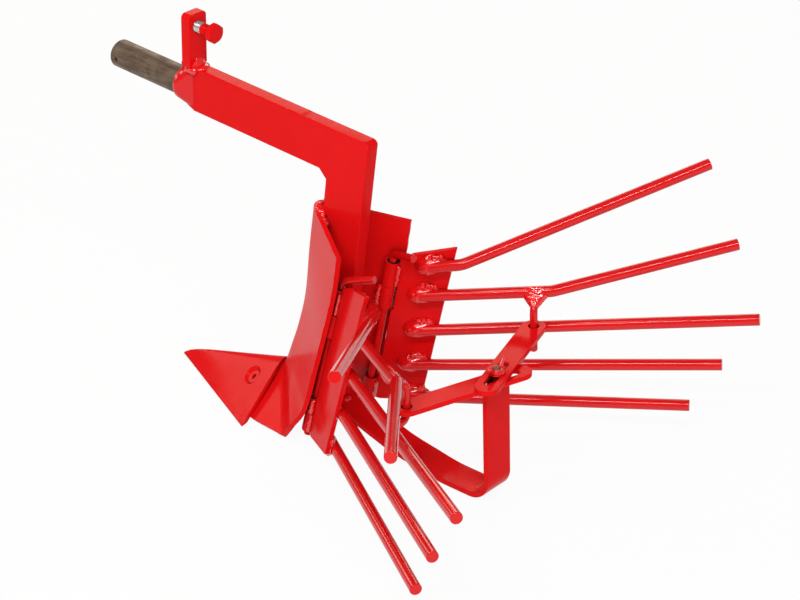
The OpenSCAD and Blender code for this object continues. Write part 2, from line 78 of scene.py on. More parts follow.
# Puts a number, a colour or another node's output into a socket.
def feed(tree, value, socket):
    if isinstance(value, bpy.types.NodeSocket):
        tree.links.new(value, socket)
    else:
        socket.default_value = value


def addNode(tree, kind, settings=None, **values):
    node = tree.nodes.new("ShaderNode" + kind)
    for key, value in (settings or {}).items():
        setattr(node, key, value)
    for key, value in values.items():
        feed(tree, value, node.inputs[key.replace("_", " ")])
    return node


def mathNode(tree, operation, a, b, clamp=False):
    node = addNode(tree, "Math", {"operation": operation, "use_clamp": clamp})
    feed(tree, a, node.inputs[0])
    feed(tree, b, node.inputs[1])
    return node.outputs[0]


def times(tree, a, b):
    return mathNode(tree, "MULTIPLY", a, b)


def plus(tree, a, b):
    return mathNode(tree, "ADD", a, b)


def rangeNode(tree, value, low, high, toLow=0.0, toHigh=1.0):
    node = addNode(tree, "MapRange", {"interpolation_type": "SMOOTHSTEP"}, Value=value,
                   From_Min=low, From_Max=high, To_Min=toLow, To_Max=toHigh)
    return node.outputs["Result"]


def mixColour(tree, factor, a, b):
    return addNode(tree, "Mix", {"data_type": "RGBA"}, Factor=factor, A=a, B=b).outputs["Result"]


def noiseMap(tree, place, scale, detail, roughness):
    node = addNode(tree, "TexNoise", Vector=place, Scale=scale, Detail=detail, Roughness=roughness)
    return node.outputs["Fac"]


# Mask of the outer edges, from the turn of the surface within a small radius.
def buildEdgeGroup():
    group, given, out = newGroup("edgeLine", [("Width", "Float", 0.0006)], [("Mask", "Float")])
    bevel = addNode(group, "Bevel", {"samples": 4}, Radius=given["Width"])
    dot = addNode(group, "VectorMath", {"operation": "DOT_PRODUCT"})
    feed(group, bevel.outputs["Normal"], dot.inputs[0])
    feed(group, addNode(group, "NewGeometry").outputs["Normal"], dot.inputs[1])
    feed(group, rangeNode(group, dot.outputs["Value"], 0.995, 0.90), out["Mask"])
    return group


# Mask of narrow gaps from ambient occlusion, which sets where painted shade darkens the colour.
def buildGapShadeGroup():
    group, given, out = newGroup("narrowGapShade", [("Reach", "Float", 0.02)], [("Mask", "Float")])
    near = addNode(group, "AmbientOcclusion", {"samples": 6}, Distance=given["Reach"])
    feed(group, rangeNode(group, near.outputs["AO"], 0.38, 0.10), out["Mask"])
    return group


# Thick sprayed enamel: slow waves, fine orange peel, dust specks, a darker colour on the edges that is partly
# thinner paint and partly painted edge shade, and painted shade in narrow gaps.
def buildPaintGroup(edgeGroup, gapShadeGroup):
    group, given, out = newGroup(
        "sprayedEnamel",
        # The last colour is the painted shade put into narrow gaps.
        [("Paint", "Color", (0.7, 0.012, 0.012, 1)), ("Deep", "Color", (0.5, 0.006, 0.007, 1)),
         ("Edge", "Color", (0.4, 0.01, 0.01, 1)), ("PaintedShade", "Color", (0.05, 0.004, 0.002, 1)),
         ("Gloss", "Float", 0.2), ("Peel", "Float", 1.0)],
        [("Colour", "Color"), ("Roughness", "Float"), ("Height", "Float")])
    place = addNode(group, "TexCoord").outputs["Object"]
    cloud = noiseMap(group, place, 22.0, 3.0, 0.55)
    peel = noiseMap(group, place, 520.0, 2.0, 0.5)
    waves = noiseMap(group, place, 75.0, 2.0, 0.4)
    specks = addNode(group, "TexVoronoi", Vector=place, Scale=260.0, Randomness=1.0).outputs["Distance"]
    edge = addNode(group, "Group", {"node_tree": edgeGroup}, Width=0.0007).outputs["Mask"]
    gap = addNode(group, "Group", {"node_tree": gapShadeGroup}, Reach=0.024).outputs["Mask"]
    speckMask = rangeNode(group, specks, 0.10, 0.03, 0.0, 0.35)
    colour = mixColour(group, rangeNode(group, cloud, 0.35, 0.75, 0.0, 0.35), given["Paint"], given["Deep"])
    colour = mixColour(group, speckMask, colour, given["Deep"])
    # Darker edges: partly thinner paint, partly painted shade along the rounded edges.
    colour = mixColour(group, times(group, edge, 0.55), colour, given["Edge"])
    # Painted shade: narrow gaps turn near-black brown.
    colour = mixColour(group, times(group, gap, 0.93), colour, given["PaintedShade"])
    feed(group, colour, out["Colour"])
    rough = plus(group, rangeNode(group, waves, 0.3, 0.7, -0.035, 0.045), given["Gloss"])
    rough = plus(group, rough, times(group, edge, 0.1))
    rough = plus(group, rough, times(group, gap, 0.6))
    feed(group, rough, out["Roughness"])
    height = plus(group, waves, times(group, peel, 0.25))
    height = mathNode(group, "SUBTRACT", height, times(group, speckMask, 0.2))
    feed(group, times(group, height, given["Peel"]), out["Height"])
    return group


# Drawn or plated steel: streaks along the bar, blotches of a second colour, small pits.
def buildSteelGroup():
    group, given, out = newGroup(
        "barSteel",
        [("Light", "Color", (0.3, 0.25, 0.2, 1)), ("Dark", "Color", (0.12, 0.09, 0.06, 1)),
         ("Stretch", "Vector", (1, 1, 1)), ("Blotch", "Float", 60.0), ("Rough", "Float", 0.4)],
        [("Colour", "Color"), ("Roughness", "Float"), ("Height", "Float")])
    place = addNode(group, "TexCoord").outputs["Object"]
    stretch = addNode(group, "VectorMath", {"operation": "MULTIPLY"})
    feed(group, place, stretch.inputs[0])
    feed(group, given["Stretch"], stretch.inputs[1])
    streak = noiseMap(group, stretch.outputs["Vector"], 400.0, 4.0, 0.6)
    blotch = noiseMap(group, place, given["Blotch"], 4.0, 0.6)
    pits = addNode(group, "TexVoronoi", Vector=place, Scale=700.0).outputs["Distance"]
    mask = rangeNode(group, plus(group, times(group, streak, 0.45), times(group, blotch, 0.55)), 0.38, 0.62)
    pitMask = rangeNode(group, pits, 0.16, 0.05)
    colour = mixColour(group, mask, given["Light"], given["Dark"])
    feed(group, mixColour(group, times(group, pitMask, 0.5), colour, given["Dark"]), out["Colour"])
    feed(group, plus(group, given["Rough"], times(group, mask, 0.14)), out["Roughness"])
    height = mathNode(group, "SUBTRACT", times(group, streak, 0.5), times(group, pitMask, 0.4))
    feed(group, height, out["Height"])
    return group


paintGroup = buildPaintGroup(buildEdgeGroup(), buildGapShadeGroup())
steelGroup = buildSteelGroup()


def buildMaterial(name, group, values, bump, bumpSize, metallic=0.0, specular=0.5):
    material = bpy.data.materials.new(name)
    material.use_nodes = True
    tree = material.node_tree
    shader = tree.nodes["Principled BSDF"].inputs
    shader["Metallic"].default_value = metallic
    shader["Specular IOR Level"].default_value = specular
    finish = addNode(tree, "Group", {"node_tree": group}, **values).outputs
    relief = addNode(tree, "Bump", Strength=bump, Distance=bumpSize, Height=finish["Height"])
    feed(tree, finish["Colour"], shader["Base Color"])
    feed(tree, finish["Roughness"], shader["Roughness"])
    feed(tree, relief.outputs["Normal"], shader["Normal"])
    return material


# Each Edge colour is partly thinner paint and partly painted edge shade.
redPaint = buildMaterial(
    "redEnamel", paintGroup,
    {"Paint": (0.71, 0.006, 0.007, 1), "Deep": (0.62, 0.004, 0.005, 1), "Edge": (0.42, 0.006, 0.006, 1),
     "Gloss": 0.15, "Peel": 1.0}, specular=0.045, bump=0.12, bumpSize=0.0003)
barPaint = buildMaterial(
    "redEnamelOnBars", paintGroup,
    {"Paint": (0.62, 0.005, 0.006, 1), "Deep": (0.55, 0.004, 0.005, 1), "Edge": (0.40, 0.006, 0.006, 1),
     "Gloss": 0.085, "Peel": 0.5}, specular=0.38, bump=0.02, bumpSize=0.0002)
weldPaint = buildMaterial(
    "redEnamelOnWelds", paintGroup,
    {"Paint": (0.72, 0.006, 0.007, 1), "Deep": (0.52, 0.004, 0.005, 1), "Edge": (0.55, 0.006, 0.006, 1),
     "Gloss": 0.06, "Peel": 1.4}, specular=0.95, bump=0.5, bumpSize=0.0006)
bareSteel = buildMaterial(
    "bareBarSteel", steelGroup,
    {"Light": (0.175, 0.122, 0.085, 1), "Dark": (0.095, 0.058, 0.036, 1), "Stretch": (1, 0.06, 1),
     "Blotch": 55.0, "Rough": 0.42}, metallic=0.45, specular=0.3, bump=0.3, bumpSize=0.0003)
zincPlate = buildMaterial(
    "zincPlate", steelGroup,
    {"Light": (0.72, 0.74, 0.72, 1), "Dark": (0.50, 0.53, 0.50, 1), "Blotch": 180.0,
     "Rough": 0.24}, metallic=0.85, bump=0.15, bumpSize=0.0002)
studSteel = buildMaterial(
    "darkStudSteel", steelGroup,
    {"Light": (0.16, 0.085, 0.05, 1), "Dark": (0.06, 0.03, 0.02, 1), "Blotch": 300.0,
     "Rough": 0.36}, metallic=0.6, bump=0.2, bumpSize=0.0002)
print("finishes ready")


# Mesh makers, all in millimetres. A shape is a list of points and a list of faces.
def shapeMesh(name, shape, place):
    mesh = bpy.data.meshes.new(name)
    mesh.from_pydata([place @ v for v in shape[0]], [], shape[1])
    mesh.validate()
    return mesh


# Joins the points that meet, and turns every face outward.
def cleanMesh(mesh):
    work = bmesh.new()
    work.from_mesh(mesh)
    bmesh.ops.remove_doubles(work, verts=work.verts, dist=1e-7)
    bmesh.ops.recalc_face_normals(work, faces=work.faces)
    work.to_mesh(mesh)
    work.free()


def addObject(name, data):
    holder = bpy.data.objects.new(name, data)
    bpy.context.scene.collection.objects.link(holder)
    return holder


# The mesh of an object with its modifiers or its curve's thickness applied.
def bakedMesh(holder):
    bpy.context.view_layer.update()
    return bpy.data.meshes.new_from_object(holder.evaluated_get(bpy.context.evaluated_depsgraph_get()))


# faceSlots picks the material of each face, 0 for the piece's own and 1 on for the spare ones.
def finishMesh(name, mesh, material, nodes=(), body="frame", slotName="red_paint", sharpDeg=38,
               weighted=True, spare=(), faceSlots=None):
    cleanMesh(mesh)
    for finish in (material, *spare):
        mesh.materials.append(finish)
    if faceSlots:
        for face in mesh.polygons:
            face.material_index = faceSlots(face.center)
    mesh.shade_smooth()
    mesh.set_sharp_from_angle(angle=radians(sharpDeg))
    piece = addObject(name, mesh)
    if weighted:
        piece.modifiers.new("flatFaces", "WEIGHTED_NORMAL").keep_sharp = True
    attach(piece, body)
    if nodes:
        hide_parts(*nodes)
    return piece


def addPiece(name, shape, place, material, nodes=(), **options):
    return finishMesh(name, shapeMesh(name, shape, place), material, nodes, **options)


def joinShape(whole, shape, place=unmoved):
    start = len(whole[0])
    whole[0].extend(place @ v for v in shape[0])
    whole[1].extend(tuple(start + k for k in face) for face in shape[1])


# Cuts a shape out of a finished piece.
def cutWith(piece, shape, place):
    mesh = shapeMesh("cutter", shape, place)
    cleanMesh(mesh)
    cutter = addObject("cutter", mesh)
    cut = piece.modifiers.new("cut", "BOOLEAN")
    cut.operation, cut.solver, cut.object = "DIFFERENCE", "EXACT", cutter
    piece.modifiers.move(len(piece.modifiers) - 1, 0)
    piece.modifiers["flatFaces"].show_viewport = False
    piece.data = bakedMesh(piece)
    piece.modifiers.remove(cut)
    piece.modifiers["flatFaces"].show_viewport = True
    bpy.data.objects.remove(cutter)
    piece.data.set_sharp_from_angle(angle=radians(38))


# A point on a smooth curve through all the rows, u from 0 to 1; a row holds any count of numbers.
def splineAt(rows, u):
    count = len(rows) - 1
    i = min(int(u * count), count - 1)
    t = u * count - i
    b, c = rows[i], rows[i + 1]
    a = rows[i - 1] if i > 0 else [2 * q - r for q, r in zip(b, c)]
    d = rows[i + 2] if i < count - 1 else [2 * r - q for q, r in zip(b, c)]
    return [0.5 * (2 * q + (r - p) * t + (2 * p - 5 * q + 4 * r - s) * t ** 2
                   + (3 * q - p - 3 * r + s) * t ** 3) for p, q, r, s in zip(a, b, c, d)]


# A line of corners with round bends between its straight runs.
def bentRoute(corners, radii):
    corners = [Vector(c) for c in corners]
    route = [corners[0]]
    for a, b, c, radius in zip(corners, corners[1:], corners[2:], radii):
        if radius == 0:
            route.append(b)
            continue
        into, away = (b - a).normalized(), (c - b).normalized()
        bend = into.angle(away)
        side = (away - into * into.dot(away)).normalized()
        middle = b - into * radius * tan(bend / 2) + side * radius
        steps = max(2, round(degrees(bend) / 5))  # a step for every 5 degrees
        for k in range(steps + 1):
            g = bend * k / steps
            route.append(middle - side * radius * cos(g) + into * radius * sin(g))
    return route + [corners[-1]]


# Tangent, up and side directions carried along a route without twisting.
def carriedFrames(route):
    last = len(route) - 1
    tangents = [(route[min(i + 1, last)] - route[max(i - 1, 0)]).normalized() for i in range(last + 1)]
    up = tangents[0].orthogonal()
    frames = []
    for tangent in tangents:
        up = (up - tangent * up.dot(tangent)).normalized()
        frames.append((tangent, up, tangent.cross(up)))
    return frames


# The skin over rings of points, which lie end to end in one list: a closed loop, or two caps.
def ringShape(verts, around, closed=False):
    rings = len(verts) // around
    faces = []
    for i in range(rings if closed else rings - 1):
        near, far = i * around, (i + 1) % rings * around
        for j in range(around):
            k = (j + 1) % around
            faces.append((near + j, near + k, far + k, far + j))
    if not closed:
        faces.append(tuple(range(around))[::-1])
        faces.append(tuple((rings - 1) * around + j for j in range(around)))
    return verts, faces


def ringAngles(around, startDeg=0):
    return [2 * pi * j / around + radians(startDeg) for j in range(around)]


def pointAt(radius, angle, z):
    return Vector((radius * cos(angle), radius * sin(angle), z))


def circleRing(radius, z, around, startDeg=0):
    return [pointAt(radius, g, z) for g in ringAngles(around, startDeg)]


# Distance from the middle to the rim of a hexagon at an angle.
def hexReach(flat, angle):
    sixth = radians(60)
    return flat / cos((angle + sixth / 2) % sixth - sixth / 2)


def hexRing(flat, z, around):
    return [pointAt(hexReach(flat, g), g, z) for g in ringAngles(around)]


# Rings for rows of (radius, height).
def stackRings(rows, around, makeRing=circleRing):
    return [v for row in rows for v in makeRing(*row, around)]


# A closed profile of (radius, height) turned about the z axis.
def turned(profile, around=56, closed=True):
    return ringShape(stackRings(profile, around), around, closed)


# Rings of a screw thread, eight to each turn.
def threadRings(p, low, span, around, startDeg=0):
    steps = int(span / p["pitch"] * 8)
    verts = []
    for z in (low + span * k / steps for k in range(steps + 1)):
        for g in ringAngles(around, startDeg):
            along = (z / p["pitch"] - g / (2 * pi)) % 1.0
            tooth = min(1.0, max(0.0, abs(2 * along - 1) * 1.5 - 0.25))
            verts.append(pointAt(p["diameter"] / 2 - p["depth"] * tooth, g, z))
    return verts


# Steps of a rounded rim: way in from the end, and inset.
def softRim(soften):
    return [(soften * (1 - cos(g)), soften * (1 - sin(g))) for g in map(radians, (0, 30, 60, 90))]


# A round bar along a route; both ends are cut square with a softened rim.
def roundBar(route, diameter, rim, around=40):
    radius = diameter / 2
    rimSteps = softRim(rim)
    first, last = (route[1] - route[0]).normalized(), (route[-2] - route[-1]).normalized()
    line = [(route[0] + first * s, radius - inset) for s, inset in rimSteps]
    line += [(point, radius) for point in route[1:-1]]
    line += [(route[-1] + last * s, radius - inset) for s, inset in reversed(rimSteps)]
    frames = carriedFrames([route[0] - first] + [p for p, _ in line[1:-1]] + [route[-1] - last])
    verts = []
    for (point, r), (_, up, side) in zip(line, frames):
        verts += [point + (up * v.x + side * v.y) * r for v in circleRing(1, 0, around)]
    return ringShape(verts, around)


# An outline with round corners, one radius for each.
def softCorners(corners, radii, steps):
    out = []
    for i, (corner, radius) in enumerate(zip(corners, radii)):
        if radius == 0:
            out.append(corner)
            continue
        a, b, c = Vector(corners[i - 1]), Vector(corner), Vector(corners[(i + 1) % len(corners)])
        into, away = (b - a).normalized(), (c - b).normalized()
        reach = radius * tan(into.angle(away) / 2)
        reach = min(reach, (b - a).length * 0.49, (c - b).length * 0.49)
        p, q = b - into * reach, b + away * reach
        for t in (k / steps for k in range(steps + 1)):
            out.append(tuple(p * (1 - t) ** 2 + b * 2 * t * (1 - t) + q * t * t))
    return out


def arcPoints(centre, radius, fromDeg, toDeg, steps):
    angles = [radians(fromDeg + (toDeg - fromDeg) * k / steps) for k in range(steps + 1)]
    return [(centre[0] + radius * cos(g), centre[1] + radius * sin(g)) for g in angles]


def holeLoop(radius):
    return arcPoints((0, 0), radius, 0, 352.5, 47)


# A painted plate cut from flat bar: outline and holes in the plane, edges softened all round.
def addPlate(name, outline, holes, p, place, nodes, **options):
    curve = bpy.data.curves.new(name, "CURVE")
    curve.dimensions = "2D"
    curve.fill_mode = "BOTH"
    curve.extrude = p["thick"] / 2 - p["soften"]
    curve.bevel_depth = p["soften"]
    curve.bevel_resolution = 2
    curve.offset = -p["soften"]
    for index, loop in enumerate([outline] + list(holes)):
        turnsLeft = sum(a[0] * b[1] - b[0] * a[1] for a, b in zip(loop, loop[1:] + loop[:1])) > 0
        if turnsLeft == (index > 0):
            loop = loop[::-1]
        spline = curve.splines.new("POLY")
        spline.points.add(len(loop) - 1)
        for point, at in zip(spline.points, loop):
            point.co = (at[0], at[1], 0, 1)
        spline.use_cyclic_u = True
    holder = addObject(name + "Outline", curve)
    mesh = bakedMesh(holder)
    bpy.data.objects.remove(holder)
    bpy.data.curves.remove(curve)
    mesh.name = name
    mesh.transform(place)
    return finishMesh(name, mesh, redPaint, nodes, **options)


# A painted sheet between two grids of points, with softened edges. Where the first column is the
# middle of a mirrored pair, its edge stays sharp.
def addSheet(name, outer, inner, soften, place, node, sharpMiddle=False):
    rows, cols = len(outer), len(outer[0])
    verts = [p for row in outer for p in row] + [p for row in inner for p in row]
    o = rows * cols
    faces = []
    for i in range(rows - 1):
        for j in range(cols - 1):
            a = i * cols + j
            faces.append((a, a + 1, a + cols + 1, a + cols))
            faces.append((o + a, o + a + cols, o + a + cols + 1, o + a + 1))
    rim = [(i * cols + cols - 1, (i + 1) * cols + cols - 1) for i in range(rows - 1)]
    rim += [((rows - 1) * cols + j + 1, (rows - 1) * cols + j) for j in range(cols - 1)]
    rim += [(j, j + 1) for j in range(cols - 1)]
    middle = [((i + 1) * cols, i * cols) for i in range(rows - 1)]
    faces += [(a, b, o + b, o + a) for a, b in rim + middle]
    mesh = bpy.data.meshes.new(name)
    mesh.from_pydata(verts, [], faces)
    work = bmesh.new()
    work.from_mesh(mesh)
    softened = rim if sharpMiddle else rim + middle
    wanted = {frozenset((a + k, b + k)) for a, b in softened for k in (0, o)}
    edges = [e for e in work.edges if frozenset((e.verts[0].index, e.verts[1].index)) in wanted]
    bmesh.ops.bevel(work, geom=edges, offset=soften, offset_type="OFFSET", segments=3, profile=0.5,
                    affect="EDGES", clamp_overlap=True)
    work.to_mesh(mesh)
    work.free()
    mesh.transform(place)
    return finishMesh(name, mesh, redPaint, (node,), sharpDeg=42)


# One lumpy weld bead along a line of points: overlapping ripples, uneven width, tapered ends.
def beadShape(points, radius, seed, lump=0.22, ripple=0.13, pitch=None, around=16):
    pitch = pitch or radius * 0.9
    coarse = [Vector(splineAt(points, k / 40)) for k in range(41)]
    length = sum((b - a).length for a, b in zip(coarse, coarse[1:]))
    count = max(10, int(length / (radius * 0.2)))
    route = [Vector(splineAt(points, k / count)) for k in range(count + 1)]
    shift = Vector((seed * 7.3, seed * 1.7, 0))
    verts = []
    for k, (point, (_, above, side)) in enumerate(zip(route, carriedFrames(route))):
        s = length * k / count
        fromEnd = min(s, length - s)
        taper = sqrt(max(0.02, 1 - (1 - min(1, fromEnd / (radius * 1.1))) ** 2))
        wave = 1 + ripple * abs(sin(pi * s / pitch)) - ripple * 0.5
        for v in circleRing(1, 0, around):
            out = above * v.x + side * v.y
            bump = noise.noise(point / (radius * 1.15) + out * 0.8 + shift)
            verts.append(point + out * radius * taper * (wave + lump * bump))
    return ringShape(verts, around)


# A lumpy weld that narrows from an oval to a circle.
def funnelShape(top, bottom, run, p, seed, around=48, rows=22):
    down = (bottom - top).normalized()
    along = (run - down * run.dot(down)).normalized()
    side = down.cross(along)
    verts = []
    for i in range(rows + 1):
        t = i / rows
        a, b = p["wide"] + (p["small"] - p["wide"]) * t, p["thick"] + (p["small"] - p["thick"]) * t
        fade = min(1, (1 - t) * 5)
        for v in circleRing(1, 0, around):
            out = along * v.x * a + side * v.y * b
            point = top + (bottom - top) * t + out
            lump = noise.noise(point / 2.6 + Vector((seed, 0, 0))) + 0.5 * noise.noise(point / 1.2)
            verts.append(point + out.normalized() * lump * fade * (0.35 + 0.75 * abs(v.y)))
    return ringShape(verts, around)


# A lumpy mound on a plate: long, wide and high in its own frame, highest where "crest" says.
def moundShape(p, seed, around=56, rings=14):
    verts = []
    for i in range(rings + 1):
        r = 1 - i / rings
        for x, y, _ in circleRing(r, 0, around):
            swell = 1 - 0.55 * max(0, (x - p["crest"]) / (1 - p["crest"])) ** 1.3
            height = p["high"] * max(0, 1 - r ** 2.6) ** 0.62 * swell
            point = Vector((x * p["long"], height - (p["sunk"] if i == 0 else 0), y * p["wide"]))
            lump = noise.noise(point / 4.2 + Vector((seed, 0, 0)))
            lump += 0.6 * noise.noise(point / 1.9 + Vector((0, seed, 0)))
            rough = p["lump"] * (0.45 + 0.55 * max(0, y)) * min(1, (1 - r) * 3)
            verts.append(point + Vector((0.35 * lump, lump, 0.35 * lump)) * rough)
    return ringShape(verts, around)


# Hitch bar, arm, post and lug.
hitch = {"diameter": 30, "front": -364, "rear": -262, "z": -25.7, "chamfer": 1.5, "lockHole": 5,
         "lockHoleFromEnd": 10}


def buildHitchBar(p):
    radius, chamfer = p["diameter"] / 2, p["chamfer"]
    profile = [(radius - chamfer, 0), (radius - 0.35, chamfer * 0.85), (radius, chamfer * 1.25)]
    profile += [(radius, z) for z in (20, 50, 80, p["rear"] - p["front"])]
    place = beamFrame @ move(0, p["front"], p["z"]) @ rotate(-90, "X")
    bar = addPiece("hitchBar", turned(profile, 96, False), place, bareSteel, ("hitch_bar",),
                   slotName="bare_steel", sharpDeg=30)
    drill = turned([(p["lockHole"] / 2, -40), (p["lockHole"] / 2, 40)], 32, False)
    cutWith(bar, drill, beamFrame @ move(0, p["front"] + p["lockHoleFromEnd"], p["z"]) @ rotate(90, "Y"))


# The post's lower front edge follows the rounded breast of the mouldboards, as (y, z).
breastLine = [(-74, -93), (-79.5, -142), (-84.5, -197.5), (-93.8, -237.7), (-104, -268), (-111, -288),
              (-117, -301)]
beam = {"thick": 15, "height": 50, "front": -262, "seamY": -89, "seamStep": 0.18, "leanDeg": 5.7, "elbow": 6,
        "rearLow": -309.2, "postFront": -50.25, "insideBreast": 9.8, "soften": 1.1,
        "followsBreast": (-299, -286, -270, -250, -225, -200, -150, -110)}


def breastAt(z):
    for (y0, z0), (y1, z1) in zip(breastLine, breastLine[1:]):
        if z >= z1 or (y1, z1) == breastLine[-1]:
            return y0 + (y1 - y0) * (z - z0) / (z1 - z0)


# Arm and post are welded end to end and ground flush, which leaves only a low step on top.
def buildBeam(p):
    lean = tan(radians(p["leanDeg"]))
    e, step, front, low, seam = p["elbow"], p["seamStep"], p["front"], -p["height"], p["seamY"]
    outline = [(front + 18, low), (front + 8, low + 4), (front, low + 12), (front, -6), (front + 6, 0),
               (seam - 2.5, 0), (seam + 2.5, -step), (-e, -step)]
    outline = softCorners(outline, [0, 4, 4, 3, 3, 2, 2, 0], 3)
    outline += arcPoints((-e, -e - step), e, 75, 15, 4)
    outline += [(p["rearLow"] * lean, p["rearLow"])]
    outline += [(breastAt(z) + p["insideBreast"], z) for z in p["followsBreast"]]
    crook = [(p["postFront"] - 86 * lean, -86), (p["postFront"] - 59 * lean, -59), (-65.5, low - 0.1)]
    outline += softCorners(crook + [(seam, low)], [0, 1, 1, 0], 2)
    sideways = Matrix(((0, 0, 1, 0), (1, 0, 0, 0), (0, 1, 0, 0), (0, 0, 0, 1)))
    addPlate("beam", outline, [], p, beamFrame @ sideways, ("beam_arm", "beam_post"))


lug = {"wide": 25, "thick": 12, "high": 58, "front": -255.5, "corner": 5, "boltZ": 43.5, "hole": 12.1,
       "soften": 1.2}


def buildLug(p):
    w, h, c = p["wide"] / 2, p["high"], p["corner"]
    outline = [(-w, 0.1), (w, 0.1)] + arcPoints((w - c, h - c), c, 0, 90, 6)
    outline += arcPoints((c - w, h - c), c, 90, 180, 6)
    hole = [(x, p["boltZ"] + y) for x, y in holeLoop(p["hole"] / 2)]
    place = beamFrame @ move(0, p["front"] + p["thick"] / 2, 0) @ rotate(90, "X")
    addPlate("adjusterLug", outline, [hole], p, place, ("adjuster_lug",))


# The tapered weld that turns the round bar into the flat arm. Rows: y, half width, half height,
# and how square the section is.
hitchBlend = {"around": 64, "rise": 0.7, "rows": [
    (-266.0, 16.2, 16.2, 2.0), (-265.2, 17.1, 17.1, 2.0), (-263.5, 17.7, 17.8, 2.0), (-261, 17.7, 18.3, 2.05),
    (-258, 16.6, 19.3, 2.2), (-255, 14.6, 20.4, 2.5), (-252, 12.2, 21.2, 3.1), (-249, 10.0, 21.8, 4.0),
    (-247, 8.5, 22.0, 5.5), (-244.8, 7.55, 21.6, 7.0)]}


def buildHitchBlend(p):
    verts = []
    count = (len(p["rows"]) - 1) * 4
    for k in range(count + 1):
        y, w, h, power = splineAt(p["rows"], k / count)
        edge = min(1, k / 3, (count - k) / 3)
        for c, s, _ in circleRing(1, 0, p["around"]):
            r = (abs(c) ** power + abs(s) ** power) ** (-1 / power)
            x, z = w * c * r, h * s * r
            lump = 0.6 * noise.noise(Vector((x, y, z)) / 5.5) + 0.45 * noise.noise(Vector((x, y, z)) / 2.2)
            verts.append(Vector((x * (1 + lump * 0.05 * edge), y,
                                 hitch["z"] + p["rise"] * k / count + z * (1 + lump * 0.04 * edge))))
    addPiece("hitchWeld", ringShape(verts, p["around"]), beamFrame, barPaint, ("hitch_weld",), sharpDeg=60,
             weighted=False)


buildHitchBar(hitch)
buildBeam(beam)
buildLug(lug)
buildHitchBlend(hitchBlend)
print("hitch bar, arm, post and lug ready")

# The paint ends partway along the bolt's thread.
bolt = {"diameter": 12, "acrossFlats": 19, "head": 7.5, "length": 36, "out": 20, "pitch": 1.75, "depth": 0.75,
        "turnDeg": 12, "paintedTo": 12.6}


def buildBolt(p):
    around = 72
    half, radius, length, top = p["acrossFlats"] / 2, p["diameter"] / 2, p["length"], -p["head"]
    corner = half / cos(radians(30))
    rows = [(top, half - 1.6), (top + 0.12, half - 0.7), (top + 0.45, half), (top + 1.15, corner - 0.25),
            (top + 1.6, corner + 1), (-1.4, corner + 1), (-0.9, corner - 0.4), (-0.35, half), (0, half - 0.8)]
    verts = []
    for z, limit in rows:
        for g in ringAngles(around):
            rim = hexReach(half, g)
            r = min(rim - 0.35 * max(0, (rim - corner + 0.5)) / 0.5, limit)
            verts.append(pointAt(r, g + radians(p["turnDeg"]), z))
    for z, r in ((0, radius + 0.35), (0.4, radius - 0.05), (2.2, radius - 0.05)):
        verts += circleRing(r, z, around, p["turnDeg"])
    verts += threadRings(p, 2.4, length - 3.4, around, p["turnDeg"])
    verts += stackRings([(radius - 0.9, length - 0.6), (radius - 1.4, length)], around)
    place = beamFrame @ move(0, lug["front"] + lug["thick"] + p["out"], lug["boltZ"] + 0.1) @ rotate(90, "X")
    back = place.inverted()
    addPiece("adjusterBolt", ringShape(verts, around), place, redPaint, ("adjuster_bolt",), body="adjuster",
             sharpDeg=30, spare=(zincPlate,), faceSlots=lambda c: 1 if (back @ c).z > p["paintedTo"] else 0)


buildBolt(bolt)
print("adjuster bolt ready")

# Mouldboards. Each row runs from the rounded breast to the rear edge; the last rows are the flange.
board = {"thick": 5, "nose": 14, "rows": 54, "flangeRows": 6, "arcSteps": 10, "flatSteps": 12, "soften": 0.9,
         "edge": [(55.2, 4.5, -106), (55.3, -2, -152), (55.3, -15, -206), (56, -26, -250.5),
                  (61, -35.5, -298), (65, -48.5, -322), (63.5, -61.5, -341.5)],
         "flangeBreast": [(-128, -309), (-165, -323.3)],
         "flangeEdge": [(55, -117, -348.8), (30, -162, -344.5)]}


def mix(a, b, t):
    return tuple(x + (y - x) * t for x, y in zip(a, b))


def boardRow(p, n, e):
    r = p["nose"]
    cy = n[0] + r
    dx, dy = e[0], e[1] - cy
    run = sqrt(hypot(dx, dy) ** 2 - r * r)
    a = min(atan2(dx, dy) - atan(r / run), radians(89.5))
    arc = r * (pi / 2 - a)
    row = []
    for j in range(p["arcSteps"]):
        g = pi / 2 - (pi / 2 - a) * j / p["arcSteps"]
        t = arc * j / p["arcSteps"] / (arc + run)
        row.append(Vector((r * cos(g), cy - r * sin(g), n[1] + (e[2] - n[1]) * t)))
    for j in range(p["flatSteps"] + 1):
        s = run * j / p["flatSteps"]
        t = (arc + s) / (arc + run)
        row.append(Vector((r * cos(a) + s * sin(a), cy - r * sin(a) + s * cos(a),
                           n[1] + (e[2] - n[1]) * t)))
    return row


# The first column lies on the mirror plane, so its normal has no sideways part.
def gridNormal(grid, i, j):
    down = grid[min(i + 1, len(grid) - 1)][j] - grid[max(i - 1, 0)][j]
    along = Vector((1, 0, 0)) if j == 0 else grid[i][min(j + 1, len(grid[0]) - 1)] - grid[i][j - 1]
    return down.cross(along).normalized()


def buildBoards(p):
    f, rows = p["flangeRows"], [i / p["rows"] for i in range(p["rows"] + 1)]
    pairs = [(splineAt(breastLine, u), splineAt(p["edge"], u)) for u in rows]
    breasts, edges = [breastLine[-1]] + p["flangeBreast"], [p["edge"][-1]] + p["flangeEdge"]
    for k in (0, 1):
        pairs += [(mix(breasts[k], breasts[k + 1], i / f), mix(edges[k], edges[k + 1], i / f))
                  for i in range(1, f + 1)]
    outer = [boardRow(p, n, e) for n, e in pairs]
    inner = [[outer[i][j] - gridNormal(outer, i, j) * p["thick"] for j in range(len(outer[0]))]
             for i in range(len(outer))]
    for sideName, mirror in sides:
        addSheet("mouldboard" + sideName.capitalize(), outer, inner, p["soften"], mirror @ beamFrame,
                 "mouldboard_" + sideName, True)


buildBoards(board)
print("mouldboards ready")

